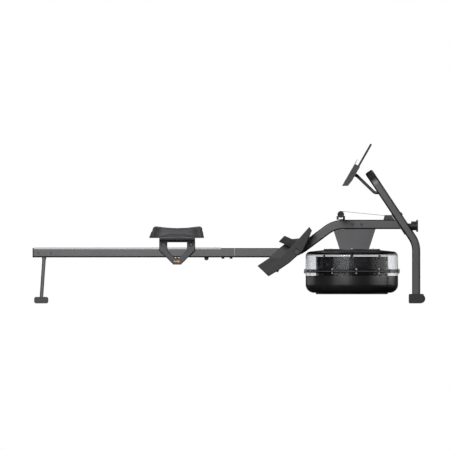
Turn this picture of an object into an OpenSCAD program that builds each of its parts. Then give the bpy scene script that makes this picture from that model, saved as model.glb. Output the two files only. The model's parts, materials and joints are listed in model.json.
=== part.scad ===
// Water rowing machine, seen with the water tank at the right (+X) and the rail at the left.
// The origin is on the floor, under the middle of the machine.

/* [Rail] */
// Length of the seat rail, from its end cap to the joint with the beam
rail_l = 1069; // [1000:1:1150]
// Height of the rail's axis above the floor
rail_z = 270; // [262:1:285]
// Height of the rail and beam tube
tube_h = 50; // [46:1:54]
// Width of the rail and beam tube
tube_w = 80; // [76:1:90]
// Corner radius of the rail and beam tube
tube_r = 8; // [4:1:12]
// Wall of the rail and beam tube
tube_t = 2; // [1.5:0.1:3]
// Thickness of the pale running strip on top of the rail
strip_t = 3; // [2:0.5:5]
// Drop of the strip's lips down the sides of the rail
strip_lip = 5.5; // [3:0.5:7]
// Thickness of the strip's lips
strip_lip_t = 1.5; // [1:0.5:2.5]
// Bare length of rail between the running strip and the joint
strip_gap = 72; // [40:1:90]
// Thickness of the rail's end cap
end_cap_t = 8; // [4:1:12]
// Distance from the joint back to the front stop under the rail
stop_back = 150; // [130:1:170]
// Gap between the rail and the beam at their joint
seam = 1; // [0.5:0.1:1.5]
// Length of the splice tube on each side of the joint
splice_l = 80; // [70:1:120]

/* [Beam] */
// Distance from the joint to the axis of the hoop's upright legs
front_l = 968; // [940:1:1000]
// Distance from the joint to the corner where the beam starts to climb
climb_x = 328; // [300:1:350]
// Slope of the climbing stretch, in degrees
climb_a = 36.5; // [34:0.5:40]
// Height of the level beam's axis above the floor
beam_z = 421; // [415:1:440]
// Radius of the beam's bends
beam_bend_r = 150; // [120:1:170]

/* [Hoop] */
// Depth of the hoop's oval tube, seen from the side
hoop_d = 44; // [38:1:50]
// Thickness of the hoop's oval tube, seen from the front
hoop_t = 26; // [22:1:30]
// Wall of the hoop's tube
hoop_wall = 2; // [1.5:0.1:3]
// Distance between the axes of the two legs
hoop_w = 260; // [240:1:300]
// Height at which the legs lean back
hoop_bend_z = 320; // [310:1:340]
// Lean of the upper hoop from upright, in degrees
hoop_a = 33.6; // [31:0.1:35]
// Radius of the bend at the leaning point
hoop_bend_r = 130; // [100:1:150]
// Length of the leaning part, from the leaning point to the top bar's axis
hoop_top_l = 447; // [420:1:480]
// Radius of the two top corners
hoop_corner_r = 70; // [50:1:90]
// Height of the cross member that carries the beam, along the leg
cross_h = 130; // [115:1:140]
// Thickness of the flange plate at the beam's end
flange_t = 4; // [3:0.5:8]
// Width of the flange plate
flange_w = 100; // [90:1:120]
// Height of the small cross bar that carries the console, above the floor
console_bar_z = 589.5; // [560:0.5:610]
// Diameter of that bar
console_bar_d = 25; // [20:1:30]

/* [Front foot] */
// Overall width of the machine, over the front foot
foot_w = 520; // [515:1:600]
// Height of the front foot's end caps
foot_cap_h = 51; // [50:1:60]
// Depth of the front foot's end caps
foot_cap_d = 80; // [76:1:84]
// Length of each front end cap
foot_cap_l = 72; // [60:1:90]
// Diameter of the transport wheels
wheel_d = 49; // [44:1:49]
// Width of the transport wheels
wheel_w = 22; // [16:1:26]
// Distance of the wheel axle ahead of the hoop's legs
wheel_ahead = 24; // [20:1:28]
// Diameter of the wheel axle
wheel_axle_d = 8; // [6:1:10]
// Height of the storage feet above the floor
storage_z = 413.5; // [400:0.5:420]
// Diameter of the storage foot's disc
storage_disc_d = 64; // [56:1:70]
// Diameter of the storage foot's body
storage_body_d = 48; // [40:1:54]
// Distance of the storage foot's face ahead of the hoop's legs
storage_ahead = 10; // [6:1:20]

/* [Rear foot] */
// Width of the rear foot
rear_foot_w = 400; // [380:1:480]
// Height of the rear end caps
rear_cap_h = 35; // [32:1:40]
// Depth of the rear end caps
rear_cap_d = 76; // [70:1:84]
// Length of each rear end cap
rear_cap_l = 55; // [45:1:70]
// Depth of the rear leg's tube, seen from the side
rear_leg_d = 19; // [18:1:26]
// Width of the rear leg's tube
rear_leg_w = 60; // [50:1:70]
// Distance from the rail's cap face to the leg's upper end
rear_leg_in = 54; // [48:1:60]
// Backward lean of the rear leg, in degrees
rear_leg_a = 3.9; // [3:0.1:6]

/* [Seat] */
// Distance from the joint back to the middle of the carriage at rest
seat_back = 306; // [296:1:330]
// Diameter of the upper rollers
roller_d = 32; // [28:1:34]
// Width of each upper roller
roller_w = 24; // [18:1:26]
// Distance between the two upper axles
roller_pitch = 147; // [140:1:150]
// Diameter of the lower guide roller
guide_d = 27; // [24:1:28]
// Diameter of the carriage axles
carriage_axle_d = 10; // [8:1:12]
// Width of the carriage side plates, seen from the side
plate_w = 191.5; // [188:0.5:200]
// Thickness of the carriage side plates
plate_t = 4; // [3:0.5:5]
// Gap between the rail and each side plate
plate_gap = 9; // [8:0.5:12]
// Width of the arms around the window in a side plate
plate_arm = 43.5; // [40:0.5:46]
// Height of the side plate's foot below the rail
plate_drop = 38; // [36:0.5:42]
// Thickness of the board under the pad
seat_base_t = 10; // [8:0.5:12]
// Width of the board under the pad
seat_base_w = 240; // [200:1:280]
// Width of the seat pad
pad_w = 330; // [300:1:350]
// Length of the seat pad at its bottom
pad_l = 293; // [280:1:300]
// Length of the seat pad at its top
pad_top_l = 271; // [260:1:280]
// Height of the seat pad at its front and rear corners
pad_h = 66; // [58:1:70]
// Depth of the dip along the pad
pad_dip = 14; // [8:1:20]

/* [Footrest] */
// Distance of the footrest axle ahead of the climbing corner
axle_ahead = 3; // [0:1:6]
// Height of the footrest axle above the rail's axis
axle_up = 6; // [4:1:8]
// Diameter of the footrest axle
axle_d = 25; // [20:1:28]
// Slope of the footboards, in degrees
board_a = 46; // [42:0.5:50]
// Width of each footboard
board_w = 112; // [105:1:125]
// Gap between the beam and each footboard
board_gap = 8; // [6:0.5:14]
// Wall of the footboards and heel cups
board_t = 4; // [3:0.5:5]
// Length of footboard below the axle
board_down = 195; // [185:1:205]
// Length of footboard above the axle
board_up = 140; // [130:1:150]
// Height of the footboard's side wall above the axle
board_wall = 40; // [36:1:44]
// Height of the heel cup's rear wall above the axle
heel_h = 97; // [88:1:105]
// Width of the foot straps
foot_strap_w = 45; // [35:1:50]
// Height of the foot straps above the axle
foot_strap_h = 105; // [95:1:112]
// Thickness of the foot straps
foot_strap_t = 4; // [3:0.5:6]

/* [Tank] */
// Distance of the tank's axis ahead of the start of the level beam
tank_ahead = 93; // [88:1:100]
// Outer diameter of the tank
tank_d = 493; // [470:1:498]
// Wall of the tank shells
tank_t = 4; // [3:0.5:5]
// Height of the tank's underside above the floor
tank_z = 56.5; // [50:0.5:62]
// Height of the joint between the tank's two shells above the floor
tank_split_z = 172; // [165:0.5:178]
// Height of the tank's shoulder above the floor
tank_shoulder_z = 277; // [274:0.5:279]
// Rounding radius of the tank's shoulder
shoulder_r = 26; // [20:1:32]
// Rounding radius of the tank's lower edge
bowl_r = 45; // [35:1:55]
// How far the clamp flange stands out from the tank
flange_out = 9; // [7:0.5:11]
// Thickness of each half of the clamp flange
flange_h = 8; // [6:0.5:10]
// Number of flange bolts
flange_bolts = 12; // [8:1:16]
// Diameter of the inner tank
inner_d = 384; // [360:1:400]
// Height of the inner tank's lid above the floor
inner_top_z = 250; // [235:1:255]
// Diameter of the base disc
base_disc_d = 384; // [340:1:400]
// Thickness of the base disc
base_disc_t = 7.5; // [5:0.5:10]
// Diameter of the round plate above the tank
top_plate_d = 300; // [280:1:340]
// Thickness of the round plate
top_plate_t = 6; // [5:0.5:8]
// Height of the round plate's underside above the floor
top_plate_z = 284.5; // [284:0.5:288]
// Diameter of the fill plug
plug_d = 30; // [24:1:34]

/* [Drive] */
// Width of the drive housing
housing_w = 78; // [76:1:80]
// Length of the drive housing at its top
housing_top_l = 227; // [210:1:240]
// Length of the drive housing at its bottom
housing_low_l = 158; // [140:1:180]
// Wall of the drive housing
housing_t = 3; // [2:0.5:4]
// Diameter of the impeller shaft
shaft_d = 16; // [12:1:18]
// Outer diameter of the shaft bearings and of the clutch
bearing_d = 32; // [28:1:34]
// Height of the shaft bearings
bearing_h = 10; // [8:1:12]
// Diameter of the wound strap on the spool
spool_wound_d = 60; // [56:1:64]
// Number of impeller blades
blades = 6; // [4:1:8]
// Distance of the front pulley ahead of the start of the level beam
pulley_ahead = 291; // [285:1:295]
// Diameter of the front pulley
pulley_d = 36; // [32:1:38]
// Height of the front pulley's axis above the beam's axis
pulley_up = 25.5; // [24:0.5:27]
// Width of the drive strap
strap_width = 22; // [18:1:24]
// Thickness of the drive strap
strap_thick = 2; // [1:0.5:2.5]

/* [Handle] */
// Distance of the resting handle ahead of the start of the level beam
handle_ahead = 34; // [28:1:40]
// Height of the resting handle's axis above the beam's top
handle_up = 28.6; // [26:0.1:32]
// Length of the handle
handle_l = 450; // [400:1:500]
// Diameter of the handle's bar
bar_d = 27; // [24:1:28]
// Diameter of the grips
grip_d = 36; // [32:1:38]
// Distance between the two grips
grip_gap = 104; // [96:1:120]
// Slope of the pull, in degrees above level
pull_a = 15; // [12:1:18]

/* [Console] */
// Slope of the console's face, in degrees above level
console_a = 60.3; // [56:0.1:66]
// Width of the console
console_w = 200; // [180:1:240]
// Length of the console's face
console_l = 137; // [130:1:150]
// Thickness of the console
console_t = 33; // [30:1:38]
// Length of the tablet holder above the console
tablet_l = 134; // [120:1:150]
// Thickness of the tablet holder
tablet_t = 11; // [8:1:12]
// Length of the console arm's sloping part
arm_l = 128; // [120:1:140]
// Slope of the console arm, in degrees
arm_a = 44; // [40:1:48]
// Diameter of the console arm
arm_d = 16; // [14:1:18]

/* [Hidden] */
$fn = 64;

// Gap between neighbouring pieces, and radial clearance of a running fit
gap = 0.3;
play = 0.05;
// Far past any piece
far = 3000;

// Places along the machine
wheel_r = wheel_d/2;
overall_l = end_cap_t + rail_l + front_l + wheel_ahead + wheel_r;
rail_x = end_cap_t - overall_l/2;
joint_x = rail_x + rail_l;
low_x = joint_x + climb_x;
up_x = low_x + (beam_z - rail_z)/tan(climb_a);
hoop_x = joint_x + front_l;
wheel_x = hoop_x + wheel_ahead;
tank_x = up_x + tank_ahead;
handle_x = up_x + handle_ahead;
pulley_x = up_x + pulley_ahead;
seat_x = joint_x - seat_back;
leg_x = rail_x + rear_leg_in;

// Heights
rail_top = rail_z + tube_h/2;
rail_low = rail_z - tube_h/2;
strip_top = rail_top + strip_t;
beam_top = beam_z + tube_h/2;
beam_low = beam_z - tube_h/2;
wheel_lift = 0.8;
wheel_z = wheel_r + wheel_lift;
handle_z = beam_top + handle_up;
pulley_z = beam_z + pulley_up;

// Colours
frame_grey = "#595959";
dark_grey = "#3a3a3a";
black = "#262626";
pale = "#c0c0c0";
zinc = "#9a9a9a";

module rounded(w, h, r) {
    square([w - 2*r, h], center = true);
    square([w, h - 2*r], center = true);
    for (x = [-1, 1], y = [-1, 1]) translate([x*(w/2 - r), y*(h/2 - r)]) circle(r);
}

// A tube's section, with its wall grown by g on both sides
module tube_section(h, w, r, t, g = 0) {
    difference() {
        rounded(h + 2*g, w + 2*g, r + g);
        rounded(h - 2*t - 2*g, w - 2*t - 2*g, r - t - g);
    }
}

// A straight run of a section, from (x, z) at an angle above level
module run(x, z, a, l) {
    translate([x, 0, z]) rotate([0, 90 - a, 0]) linear_extrude(l) children();
}

// Bent tubes are a little thicker than straight ones, and lap over their ends
bend_grow = 0.1;
bend_lap = 1;

function lap_angle(r) = bend_lap*180/(PI*r);

// A bend of a section about (x, z), from angle a0 over the angle a
module bend(x, z, r, a0, a) {
    translate([x, 0, z]) rotate([90, 0, 0]) rotate([0, 0, a0]) rotate_extrude(angle = a, $fn = 96)
        translate([r, 0]) children();
}

// The same for a tube, lapping over the straight runs at both ends
module tube_bend(x, z, r, a0, a) {
    bend(x, z, r, a0 - lap_angle(r), a + 2*lap_angle(r)) children();
}

// An outline drawn from the side, given its width
module plank(w) {
    rotate([90, 0, 0]) linear_extrude(w, center = true) children();
}

module rod_y(d, l) {
    rotate([90, 0, 0]) cylinder(d = d, h = l, center = true);
}

// A closed skin over rings of points
module loft(rings) {
    m = len(rings[0]);
    n = len(rings);
    sides = [for (i = [0:n - 2], j = [0:m - 1], k = [0, 1])
        let (a = i*m + j, b = i*m + (j + 1) % m)
        k == 0 ? [a, b + m, b] : [a, a + m, b + m]];
    first = [for (j = [1:m - 2]) [0, j, j + 1]];
    last = [for (j = [1:m - 2]) [(n - 1)*m, (n - 1)*m + j + 1, (n - 1)*m + j]];
    polyhedron([for (ring = rings) each ring], concat(sides, first, last), convexity = 8);
}

// Rail

rail_screw_in = [24, 90];
rail_screw_d = 6;
splice_bolt_back = [62, 19];
splice_bolt_y = 22;
splice_bolt_d = 8;

module beam_section(g = 0) {
    tube_section(tube_h, tube_w, tube_r, tube_t, g);
}

module seat_rail() color(frame_grey) difference() {
    run(rail_x, rail_z, 0, rail_l - seam) beam_section();
    for (x = rail_screw_in) translate([rail_x + x, 0, rail_z]) rod_y(rail_screw_d + 2*gap, tube_w + 2);
    for (x = splice_bolt_back, y = [-1, 1])
        translate([joint_x - x, y*splice_bolt_y, rail_low - 1])
            cylinder(d = splice_bolt_d + 2*gap, h = tube_t + 2);
}

// A channel that is slid over the rail, with a lip down each side
module running_strip() color(pale) {
    half = tube_w/2 + strip_lip_t;
    inner = tube_w/2 + play;
    bevel = 1.5;
    run(rail_x, rail_top, 0, rail_l - strip_gap) polygon([
        [strip_lip, -half], [bevel - strip_t, -half], [-strip_t, bevel - half], [-strip_t, half - bevel],
        [bevel - strip_t, half], [strip_lip, half], [strip_lip, inner], [0, inner],
        [0, -inner], [strip_lip, -inner]
    ]);
}

module rail_end_cap() color(black) {
    plug_l = rail_screw_in[1] + 14;
    run(rail_x - end_cap_t, rail_z, 0, end_cap_t) rounded(tube_h, tube_w, tube_r);
    difference() {
        run(rail_x, rail_z, 0, plug_l)
            rounded(tube_h - 2*tube_t - 2*gap, tube_w - 2*tube_t - 2*gap, tube_r - tube_t);
        run(rail_x + 4, rail_z, 0, plug_l) rounded(tube_h - 16, tube_w - 24, 3);
    }
}

stop_h = 15;
stop_d = 23;

module rail_stops() color(black) for (y = [-1, 1])
    translate([joint_x - stop_back, y*15, rail_low - stop_h]) {
        cylinder(d = stop_d - 7, h = stop_h);
        translate([0, 0, 5]) cylinder(d = stop_d, h = stop_h - 5);
    }

module splice_tube() color(zinc) {
    splice_t = 4;
    difference() {
        run(joint_x - splice_l, rail_z, 0, 2*splice_l)
            rounded(tube_h - 2*tube_t - gap, tube_w - 2*tube_t - gap, tube_r - tube_t);
        run(joint_x - splice_l - 1, rail_z, 0, 2*splice_l + 2)
            rounded(tube_h - 2*tube_t - 2*splice_t, tube_w - 2*tube_t - 2*splice_t, 3);
        for (x = splice_bolt_back, y = [-1, 1]) translate([joint_x - x, y*splice_bolt_y, rail_low - 1])
            cylinder(d = splice_bolt_d + 2*play, h = 12);
    }
}

beam_bolt_x = [3, 51.5];
beam_bolt_d = 8;
cross_bolt_z = [-45, 39];
cross_bolt_y = 34;
cross_bolt_d = 10;

// A pan head bolt along +Z with its head below the origin and a hex socket in it
module bolt(d, l, head_d, head_h) {
    difference() {
        translate([0, 0, -head_h]) cylinder(d = head_d, h = head_h);
        translate([0, 0, -head_h - 1]) cylinder(d = d*0.6, h = head_h*0.6 + 1, $fn = 6);
    }
    cylinder(d = d, h = l);
}

module frame_bolts() color(dark_grey) {
    for (x = splice_bolt_back, y = [-1, 1])
        translate([joint_x - x, y*splice_bolt_y, rail_low]) bolt(splice_bolt_d, 11, 15, 7);
    for (x = rail_screw_in, y = [-1, 1])
        translate([rail_x + x, y*tube_w/2, rail_z]) rotate([y*90, 0, 0]) bolt(rail_screw_d, tube_t, 12, 2.5);
    for (x = beam_bolt_x, y = [-1, 1])
        translate([tank_x + x, y*tube_w/2, beam_z]) rotate([y*90, 0, 0]) bolt(beam_bolt_d, tube_t, 15, 3);
    on_hoop() for (z = cross_bolt_z, y = [-1, 1])
        translate([hoop_d/2, y*cross_bolt_y, beam_on_hoop + cross_up + z]) rotate([0, -90, 0])
            bolt(cross_bolt_d, hoop_d + flange_t, 17, 4);
}

// Beam

beam_tangent = beam_bend_r*tan(climb_a/2);
axle_x = low_x + axle_ahead;
axle_z = rail_z + axle_up;
top_slot_l = 44;
top_slot_w = 34;
spindle_d = 8;
pulley_box_w = 46;
low_slot_ahead = 70;
low_slot_l = 47;
low_slot_w = 40;
low_slot_aside = 6;

// The beam is cut by the flange plate, which lies on the hoop's cross member
module past_flange(t) {
    on_hoop() translate([-hoop_d/2 - t, -far/2, -far/2]) cube(far);
}

// The strap passes here from the spool up into the beam
module low_slot(up) {
    translate([tank_x + low_slot_ahead, low_slot_aside - low_slot_w, beam_low - housing_t - 1])
        cube([low_slot_l, low_slot_w, housing_t + 1 + up]);
}

module main_beam() color(frame_grey) {
    slope_l = (beam_z - rail_z)/sin(climb_a) - 2*beam_tangent;
    difference() {
        union() {
            run(joint_x, rail_z, 0, climb_x - beam_tangent) beam_section();
            tube_bend(low_x - beam_tangent, rail_z + beam_bend_r, beam_bend_r, -90, climb_a)
                beam_section(bend_grow);
            run(low_x + beam_tangent*cos(climb_a), rail_z + beam_tangent*sin(climb_a), climb_a, slope_l)
                beam_section();
            tube_bend(up_x + beam_tangent, beam_z - beam_bend_r, beam_bend_r, 90, climb_a)
                beam_section(bend_grow);
            run(up_x + beam_tangent, beam_z, 0, hoop_x - up_x - beam_tangent) beam_section();
        }
        past_flange(flange_t);
        translate([axle_x, 0, axle_z]) rod_y(axle_d + 2*play, tube_w + 2);
        translate([pulley_x - top_slot_l/2, -top_slot_w/2, beam_z]) cube([top_slot_l, top_slot_w, tube_h]);
        translate([pulley_x, 0, pulley_z]) rod_y(spindle_d + 2*play, pulley_box_w);
        low_slot(tube_h/2);
        for (x = beam_bolt_x) translate([tank_x + x, 0, beam_z]) rod_y(beam_bolt_d + 2*gap, tube_w + 2);
    }
    difference() {
        on_hoop() translate([-hoop_d/2 - flange_t, 0, beam_on_hoop + cross_up]) rotate([90, 0, 90])
            linear_extrude(flange_t) rounded(flange_w, cross_h, 8);
        cross_bolt_holes();
    }
}

// Hoop

hoop_tangent = hoop_bend_r*tan(hoop_a/2);
beam_on_hoop = (beam_z - hoop_bend_z)/cos(hoop_a);
bar_on_hoop = (console_bar_z - hoop_bend_z)/cos(hoop_a);
console_bar_x = hoop_x - (console_bar_z - hoop_bend_z)*tan(hoop_a);
cross_up = 15;
cross_wall = 3;
foot_tube_h = 46;
foot_tube_d = 60;
foot_tube_back = 6;
foot_axis_z = foot_cap_h/2;
hoop_foot_z = foot_axis_z + foot_tube_h/2;

// The frame of the leaning part: +Z up along the hoop, +X forward and square to it
module on_hoop() {
    translate([hoop_x, 0, hoop_bend_z]) rotate([0, -hoop_a, 0]) children();
}

module cross_bolt_holes() {
    on_hoop() for (z = cross_bolt_z, y = [-1, 1])
        translate([0, y*cross_bolt_y, beam_on_hoop + cross_up + z]) rotate([0, 90, 0])
            cylinder(d = cross_bolt_d + 2*play, h = far/4, center = true);
}

module hoop_section(g = 0) {
    tube_section(hoop_d, hoop_t, hoop_t/2 - 3, hoop_wall, g);
}

module hoop_leg() {
    run(hoop_x, hoop_foot_z, 90, hoop_bend_z - hoop_tangent - hoop_foot_z) hoop_section();
    tube_bend(hoop_x - hoop_bend_r, hoop_bend_z - hoop_tangent, hoop_bend_r, 0, hoop_a)
        hoop_section(bend_grow);
    on_hoop() translate([0, 0, hoop_tangent]) linear_extrude(hoop_top_l - hoop_corner_r - hoop_tangent)
        hoop_section();
}

module support_hoop() color(frame_grey) {
    for (y = [-1, 1]) translate([0, y*hoop_w/2, 0]) hoop_leg();
    on_hoop() {
        for (s = [0, 1]) translate([0, (1 - 2*s)*(hoop_w/2 - hoop_corner_r), hoop_top_l - hoop_corner_r])
            rotate([90, 0, 90]) rotate([0, 0, 90*s - lap_angle(hoop_corner_r)])
                rotate_extrude(angle = 90 + 2*lap_angle(hoop_corner_r), $fn = 96)
                    translate([hoop_corner_r, 0]) rotate(90) hoop_section(bend_grow);
        translate([0, 0, hoop_top_l]) plank(hoop_w - 2*hoop_corner_r) hoop_section();
        translate([0, 0, bar_on_hoop]) rod_y(console_bar_d, hoop_w - hoop_t + hoop_wall);
    }
    difference() {
        on_hoop() translate([0, 0, beam_on_hoop + cross_up]) plank(hoop_w - hoop_t + hoop_wall)
            tube_section(hoop_d, cross_h, 5, cross_wall);
        cross_bolt_holes();
    }
}

// Front foot

wheel_slot_w = wheel_w + 4;
cheek_t = 5;
wheel_y = foot_w/2 - cheek_t - wheel_slot_w/2;
cap_inner_y = foot_w/2 - foot_cap_l;
foot_tube_y = foot_w/2 - 2*cheek_t - wheel_slot_w;

module front_foot_tube() color(frame_grey) translate([hoop_x - foot_tube_back, 0, foot_axis_z])
    plank(2*foot_tube_y) tube_section(foot_tube_d, foot_tube_h, 8, 2.5);

module front_cap_outline() {
    heel_r = 7;
    nose_r = 5;
    chin_r = 20;
    x = foot_cap_d/2;
    z = foot_cap_h/2;
    translate([heel_r - x, -z]) square([2*x - heel_r - chin_r, 2*z]);
    translate([-x, heel_r - z]) square([2*x, 2*z - heel_r - chin_r]);
    translate([-x, z - heel_r - chin_r]) square([2*x - nose_r, chin_r]);
    translate([0, chin_r - z]) square([x, 2*z - chin_r - nose_r]);
    translate([0, z - nose_r]) square([x - nose_r, nose_r]);
    for (s = [-1, 1]) translate([heel_r - x, s*(z - heel_r)]) circle(heel_r);
    translate([x - nose_r, z - nose_r]) circle(nose_r);
    translate([x - chin_r, chin_r - z]) circle(chin_r);
}

module front_caps() color(black) for (y = [-1, 1]) difference() {
    translate([hoop_x, y*(foot_w/2 - foot_cap_l/2), foot_axis_z]) plank(foot_cap_l) front_cap_outline();
    translate([hoop_x - foot_tube_back, 0, foot_axis_z]) plank(2*foot_tube_y)
        rounded(foot_tube_d + 2*play, foot_tube_h + 2*play, 8 + play);
    translate([wheel_x, y*wheel_y, wheel_z]) rod_y(wheel_d + 6, wheel_slot_w);
    translate([wheel_x, y*wheel_y - wheel_slot_w/2, -1]) cube([far, wheel_slot_w, far]);
    translate([wheel_x, y*wheel_y, wheel_z]) rod_y(wheel_axle_d + 2*play, far/10);
}

module wheel_axles() color(zinc) for (y = [-1, 1])
    translate([wheel_x, y*wheel_y, wheel_z]) rod_y(wheel_axle_d, wheel_slot_w + 2*cheek_t - 1);

module wheel(y) color(black) translate([wheel_x, y*wheel_y, wheel_z]) rotate([90, 0, 0])
    rotate_extrude() difference() {
        translate([wheel_axle_d/2 + play, -wheel_w/2]) square([wheel_r - wheel_axle_d/2 - play, wheel_w]);
        for (s = [-1, 1]) {
            translate([wheel_r*0.55, s*wheel_w/2]) circle(4);
            translate([wheel_r, s*wheel_w/2]) rotate(45) square(3, center = true);
        }
    }

module wheel_left() wheel(1);
module wheel_right() wheel(-1);

storage_face_x = hoop_x + storage_ahead;
storage_disc_t = 10;
storage_body_t = 27;
storage_neck_d = 26;

module storage_feet() color(black) for (y = [-1, 1]) difference() {
    translate([storage_face_x, y*hoop_w/2, storage_z]) rotate([0, -90, 0]) {
        cylinder(d = storage_disc_d, h = storage_disc_t);
        cylinder(d = storage_body_d, h = storage_disc_t + storage_body_t);
        cylinder(d = storage_neck_d, h = 120);
    }
    on_hoop() translate([hoop_d/2 - far, -far/2, -far/2]) cube(far);
}

// Rear foot

rear_tube_h = 30;
rear_tube_d = 60;
rear_axis_z = rear_cap_h/2;
rear_foot_x = leg_x - (rail_low - rear_axis_z)*tan(rear_leg_a);
rear_pocket = 40;
collar_h = 10;

module rear_leg() color(frame_grey) difference() {
    union() {
        translate([leg_x, 0, rail_low]) rotate([0, rear_leg_a, 0]) translate([0, 0, -rail_low])
            linear_extrude(rail_low + 10) tube_section(rear_leg_d, rear_leg_w, 5, 2);
        translate([leg_x, 0, rail_low - collar_h]) linear_extrude(collar_h)
            rounded(rear_leg_d + 4, rear_leg_w + 6, 4);
    }
    translate([-far/2, -far/2, rail_low]) cube(far);
    translate([-far/2, -far/2, rear_axis_z + rear_tube_h/2 - far]) cube(far);
}

module rear_foot_tube() color(frame_grey) translate([rear_foot_x, 0, rear_axis_z])
    plank(rear_foot_w - 2*(rear_cap_l - rear_pocket)) tube_section(rear_tube_d, rear_tube_h, 8, 2);

module rear_caps() color(dark_grey) for (y = [-1, 1]) difference() {
    translate([rear_foot_x, y*(rear_foot_w - rear_cap_l)/2, rear_axis_z]) plank(rear_cap_l)
        rounded(rear_cap_d, rear_cap_h, 11);
    translate([rear_foot_x, y*(rear_foot_w/2 - rear_cap_l + rear_pocket/2), rear_axis_z])
        plank(rear_pocket + play) rounded(rear_tube_d + 2*play, rear_tube_h + 2*play, 8 + play);
    translate([rear_foot_x, y*(rear_foot_w/2 - rear_cap_l - 1), rear_axis_z]) plank(4)
        rounded(rear_tube_d + 2*play, rear_tube_h + 2*play, 8 + play);
}

// Footrest, drawn from its axle: x up along the board, y out of its face

board_y = tube_w/2 + board_gap + board_w/2;
bed = board_wall - 10;
heel_x = -board_down;
toe_x = board_up;

module on_board() {
    translate([axle_x, 0, axle_z]) rotate([0, -board_a, 0]) children();
}

module board_outline() {
    polygon([
        [heel_x, 15], [heel_x + 57, 0], [heel_x + 125, -14], [-axle_d, -17], [axle_d, -21.5], [toe_x - 50, 0],
        [toe_x - 2, board_wall - 20], [toe_x + 1.5, board_wall + 3.6], [60, board_wall], [heel_x, board_wall]
    ]);
}

module board_pocket() {
    polygon([
        [heel_x + board_t, -far], [toe_x - 34, -far],
        [toe_x - 34, bed - board_t], [heel_x + board_t, bed - board_t]
    ]);
}

pin_x = heel_x + 50;
pin_d = 8;

// side is 1 at +Y and -1 at -Y, and the tall guard stands next to the beam
module footboard(side) color(dark_grey) on_board() translate([0, side*board_y, 0]) difference() {
    union() {
        difference() {
            plank(board_w) board_outline();
            plank(board_w - 2*board_t) board_pocket();
            plank(board_w - 2*board_t) translate([heel_x - 1, bed]) square([board_down + toe_x - 24, far]);
        }
        translate([0, -side*(board_w - board_t)/2, 0]) plank(board_t) polygon([
            [heel_x + 70, board_wall - 5], [heel_x + 70, 82], [-46, 79], [-26, 76], [30, 66],
            [60, board_wall], [60, board_wall - 5]
        ]);
        rod_y(axle_d + 8, board_w - 1);
        translate([pin_x, 0, 2]) cylinder(d = pin_d + 8, h = bed - 4);
    }
    rod_y(axle_d + 2*play, board_w + 2);
    translate([pin_x, 0, -20]) cylinder(d = pin_d + 2*play, h = far);
}

module footboard_left() footboard(1);
module footboard_right() footboard(-1);

module footrest_axle() color(zinc) translate([axle_x, 0, axle_z]) {
    rod_y(axle_d, 2*board_y + board_w);
    for (y = [-1, 1]) translate([0, y*(board_y + board_w/2), 0]) rotate([y*90, 0, 0]) bolt(8, 1, 16, 4);
}

module heel_pins() color(black) on_board() for (y = [-1, 1]) translate([pin_x, y*board_y, 0]) {
    translate([0, 0, -3.5]) cylinder(d = pin_d + 6, h = 5.5);
    cylinder(d = pin_d, h = bed - gap);
}

cup_w = board_w - 2*board_t - 2*gap;
cup_l = 125;
cup_lip = 15;
cup_slope = 23;

module heel_cup(side) color(dark_grey) on_board() translate([0, side*board_y, 0]) {
    low = bed + gap;
    plank(cup_w) translate([heel_x, low]) square([cup_l, board_t]);
    plank(cup_w) polygon([
        [heel_x - gap, cup_lip], [heel_x - gap - board_t, cup_lip + board_t/2],
        [heel_x - board_t - 1, heel_h], [heel_x, heel_h],
        [heel_x + board_t, low], [heel_x - gap, low]
    ]);
    translate([0, side*(cup_w - board_t)/2, 0]) plank(board_t) polygon([
        [heel_x, low], [heel_x, heel_h], [heel_x + cup_l/3, heel_h - cup_slope],
        [heel_x + 2*cup_l/3, board_wall - 1], [heel_x + cup_l, low + board_t]
    ]);
    translate([0, -side*(cup_w - board_t)/2, 0]) plank(board_t) polygon([
        [heel_x, low], [heel_x, heel_h], [heel_x + 0.56*cup_l, heel_h - cup_lip],
        [heel_x + 0.8*cup_l, board_wall + 10], [heel_x + cup_l, low + board_t]
    ]);
}

module heel_cup_left() heel_cup(1);
module heel_cup_right() heel_cup(-1);

function power(v, e) = v < 0 ? -pow(-v, e) : pow(v, e);

// A point of a strap's arch, given its half width and its height
function arch(a, w, h) = [w*power(cos(a), 0.5), h*pow(sin(a), 0.6)];

// A strap arches over the foot and leans towards the heel
module foot_straps() color(black) on_board() {
    steps = 24;
    foot_y = board_w/2 - board_t - foot_strap_t/2 - 1;
    low = bed + gap;
    rise = foot_strap_h - low - foot_strap_t/2;
    lean = 0.36;
    base_x = -1.5;
    for (y = [-1, 1]) translate([0, y*board_y, 0]) loft([for (i = [0:steps])
        let (a = 180*i/steps, h = foot_strap_t/2, p = arch(a, foot_y - h, rise - h),
            q = arch(a, foot_y + h, rise + h))
        [
            [base_x - lean*p[1], p[0], low + p[1]],
            [base_x + foot_strap_w - lean*p[1], p[0], low + p[1]],
            [base_x + foot_strap_w - lean*q[1], q[0], low + q[1]],
            [base_x - lean*q[1], q[0], low + q[1]]
        ]]);
}

// Drive housing

housing_ahead = 13;
housing_x = tank_x + housing_ahead;
housing_low = top_plate_z + top_plate_t;
bearing_z = [housing_low, beam_low - housing_t - bearing_h];
boss_d = bearing_d + 10;
spool_flange_d = spool_wound_d + 8;
spool_h = strap_width + 12;
spool_z = bearing_z[1] - 1 - spool_h;
spool_flange_t = 2;

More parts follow.
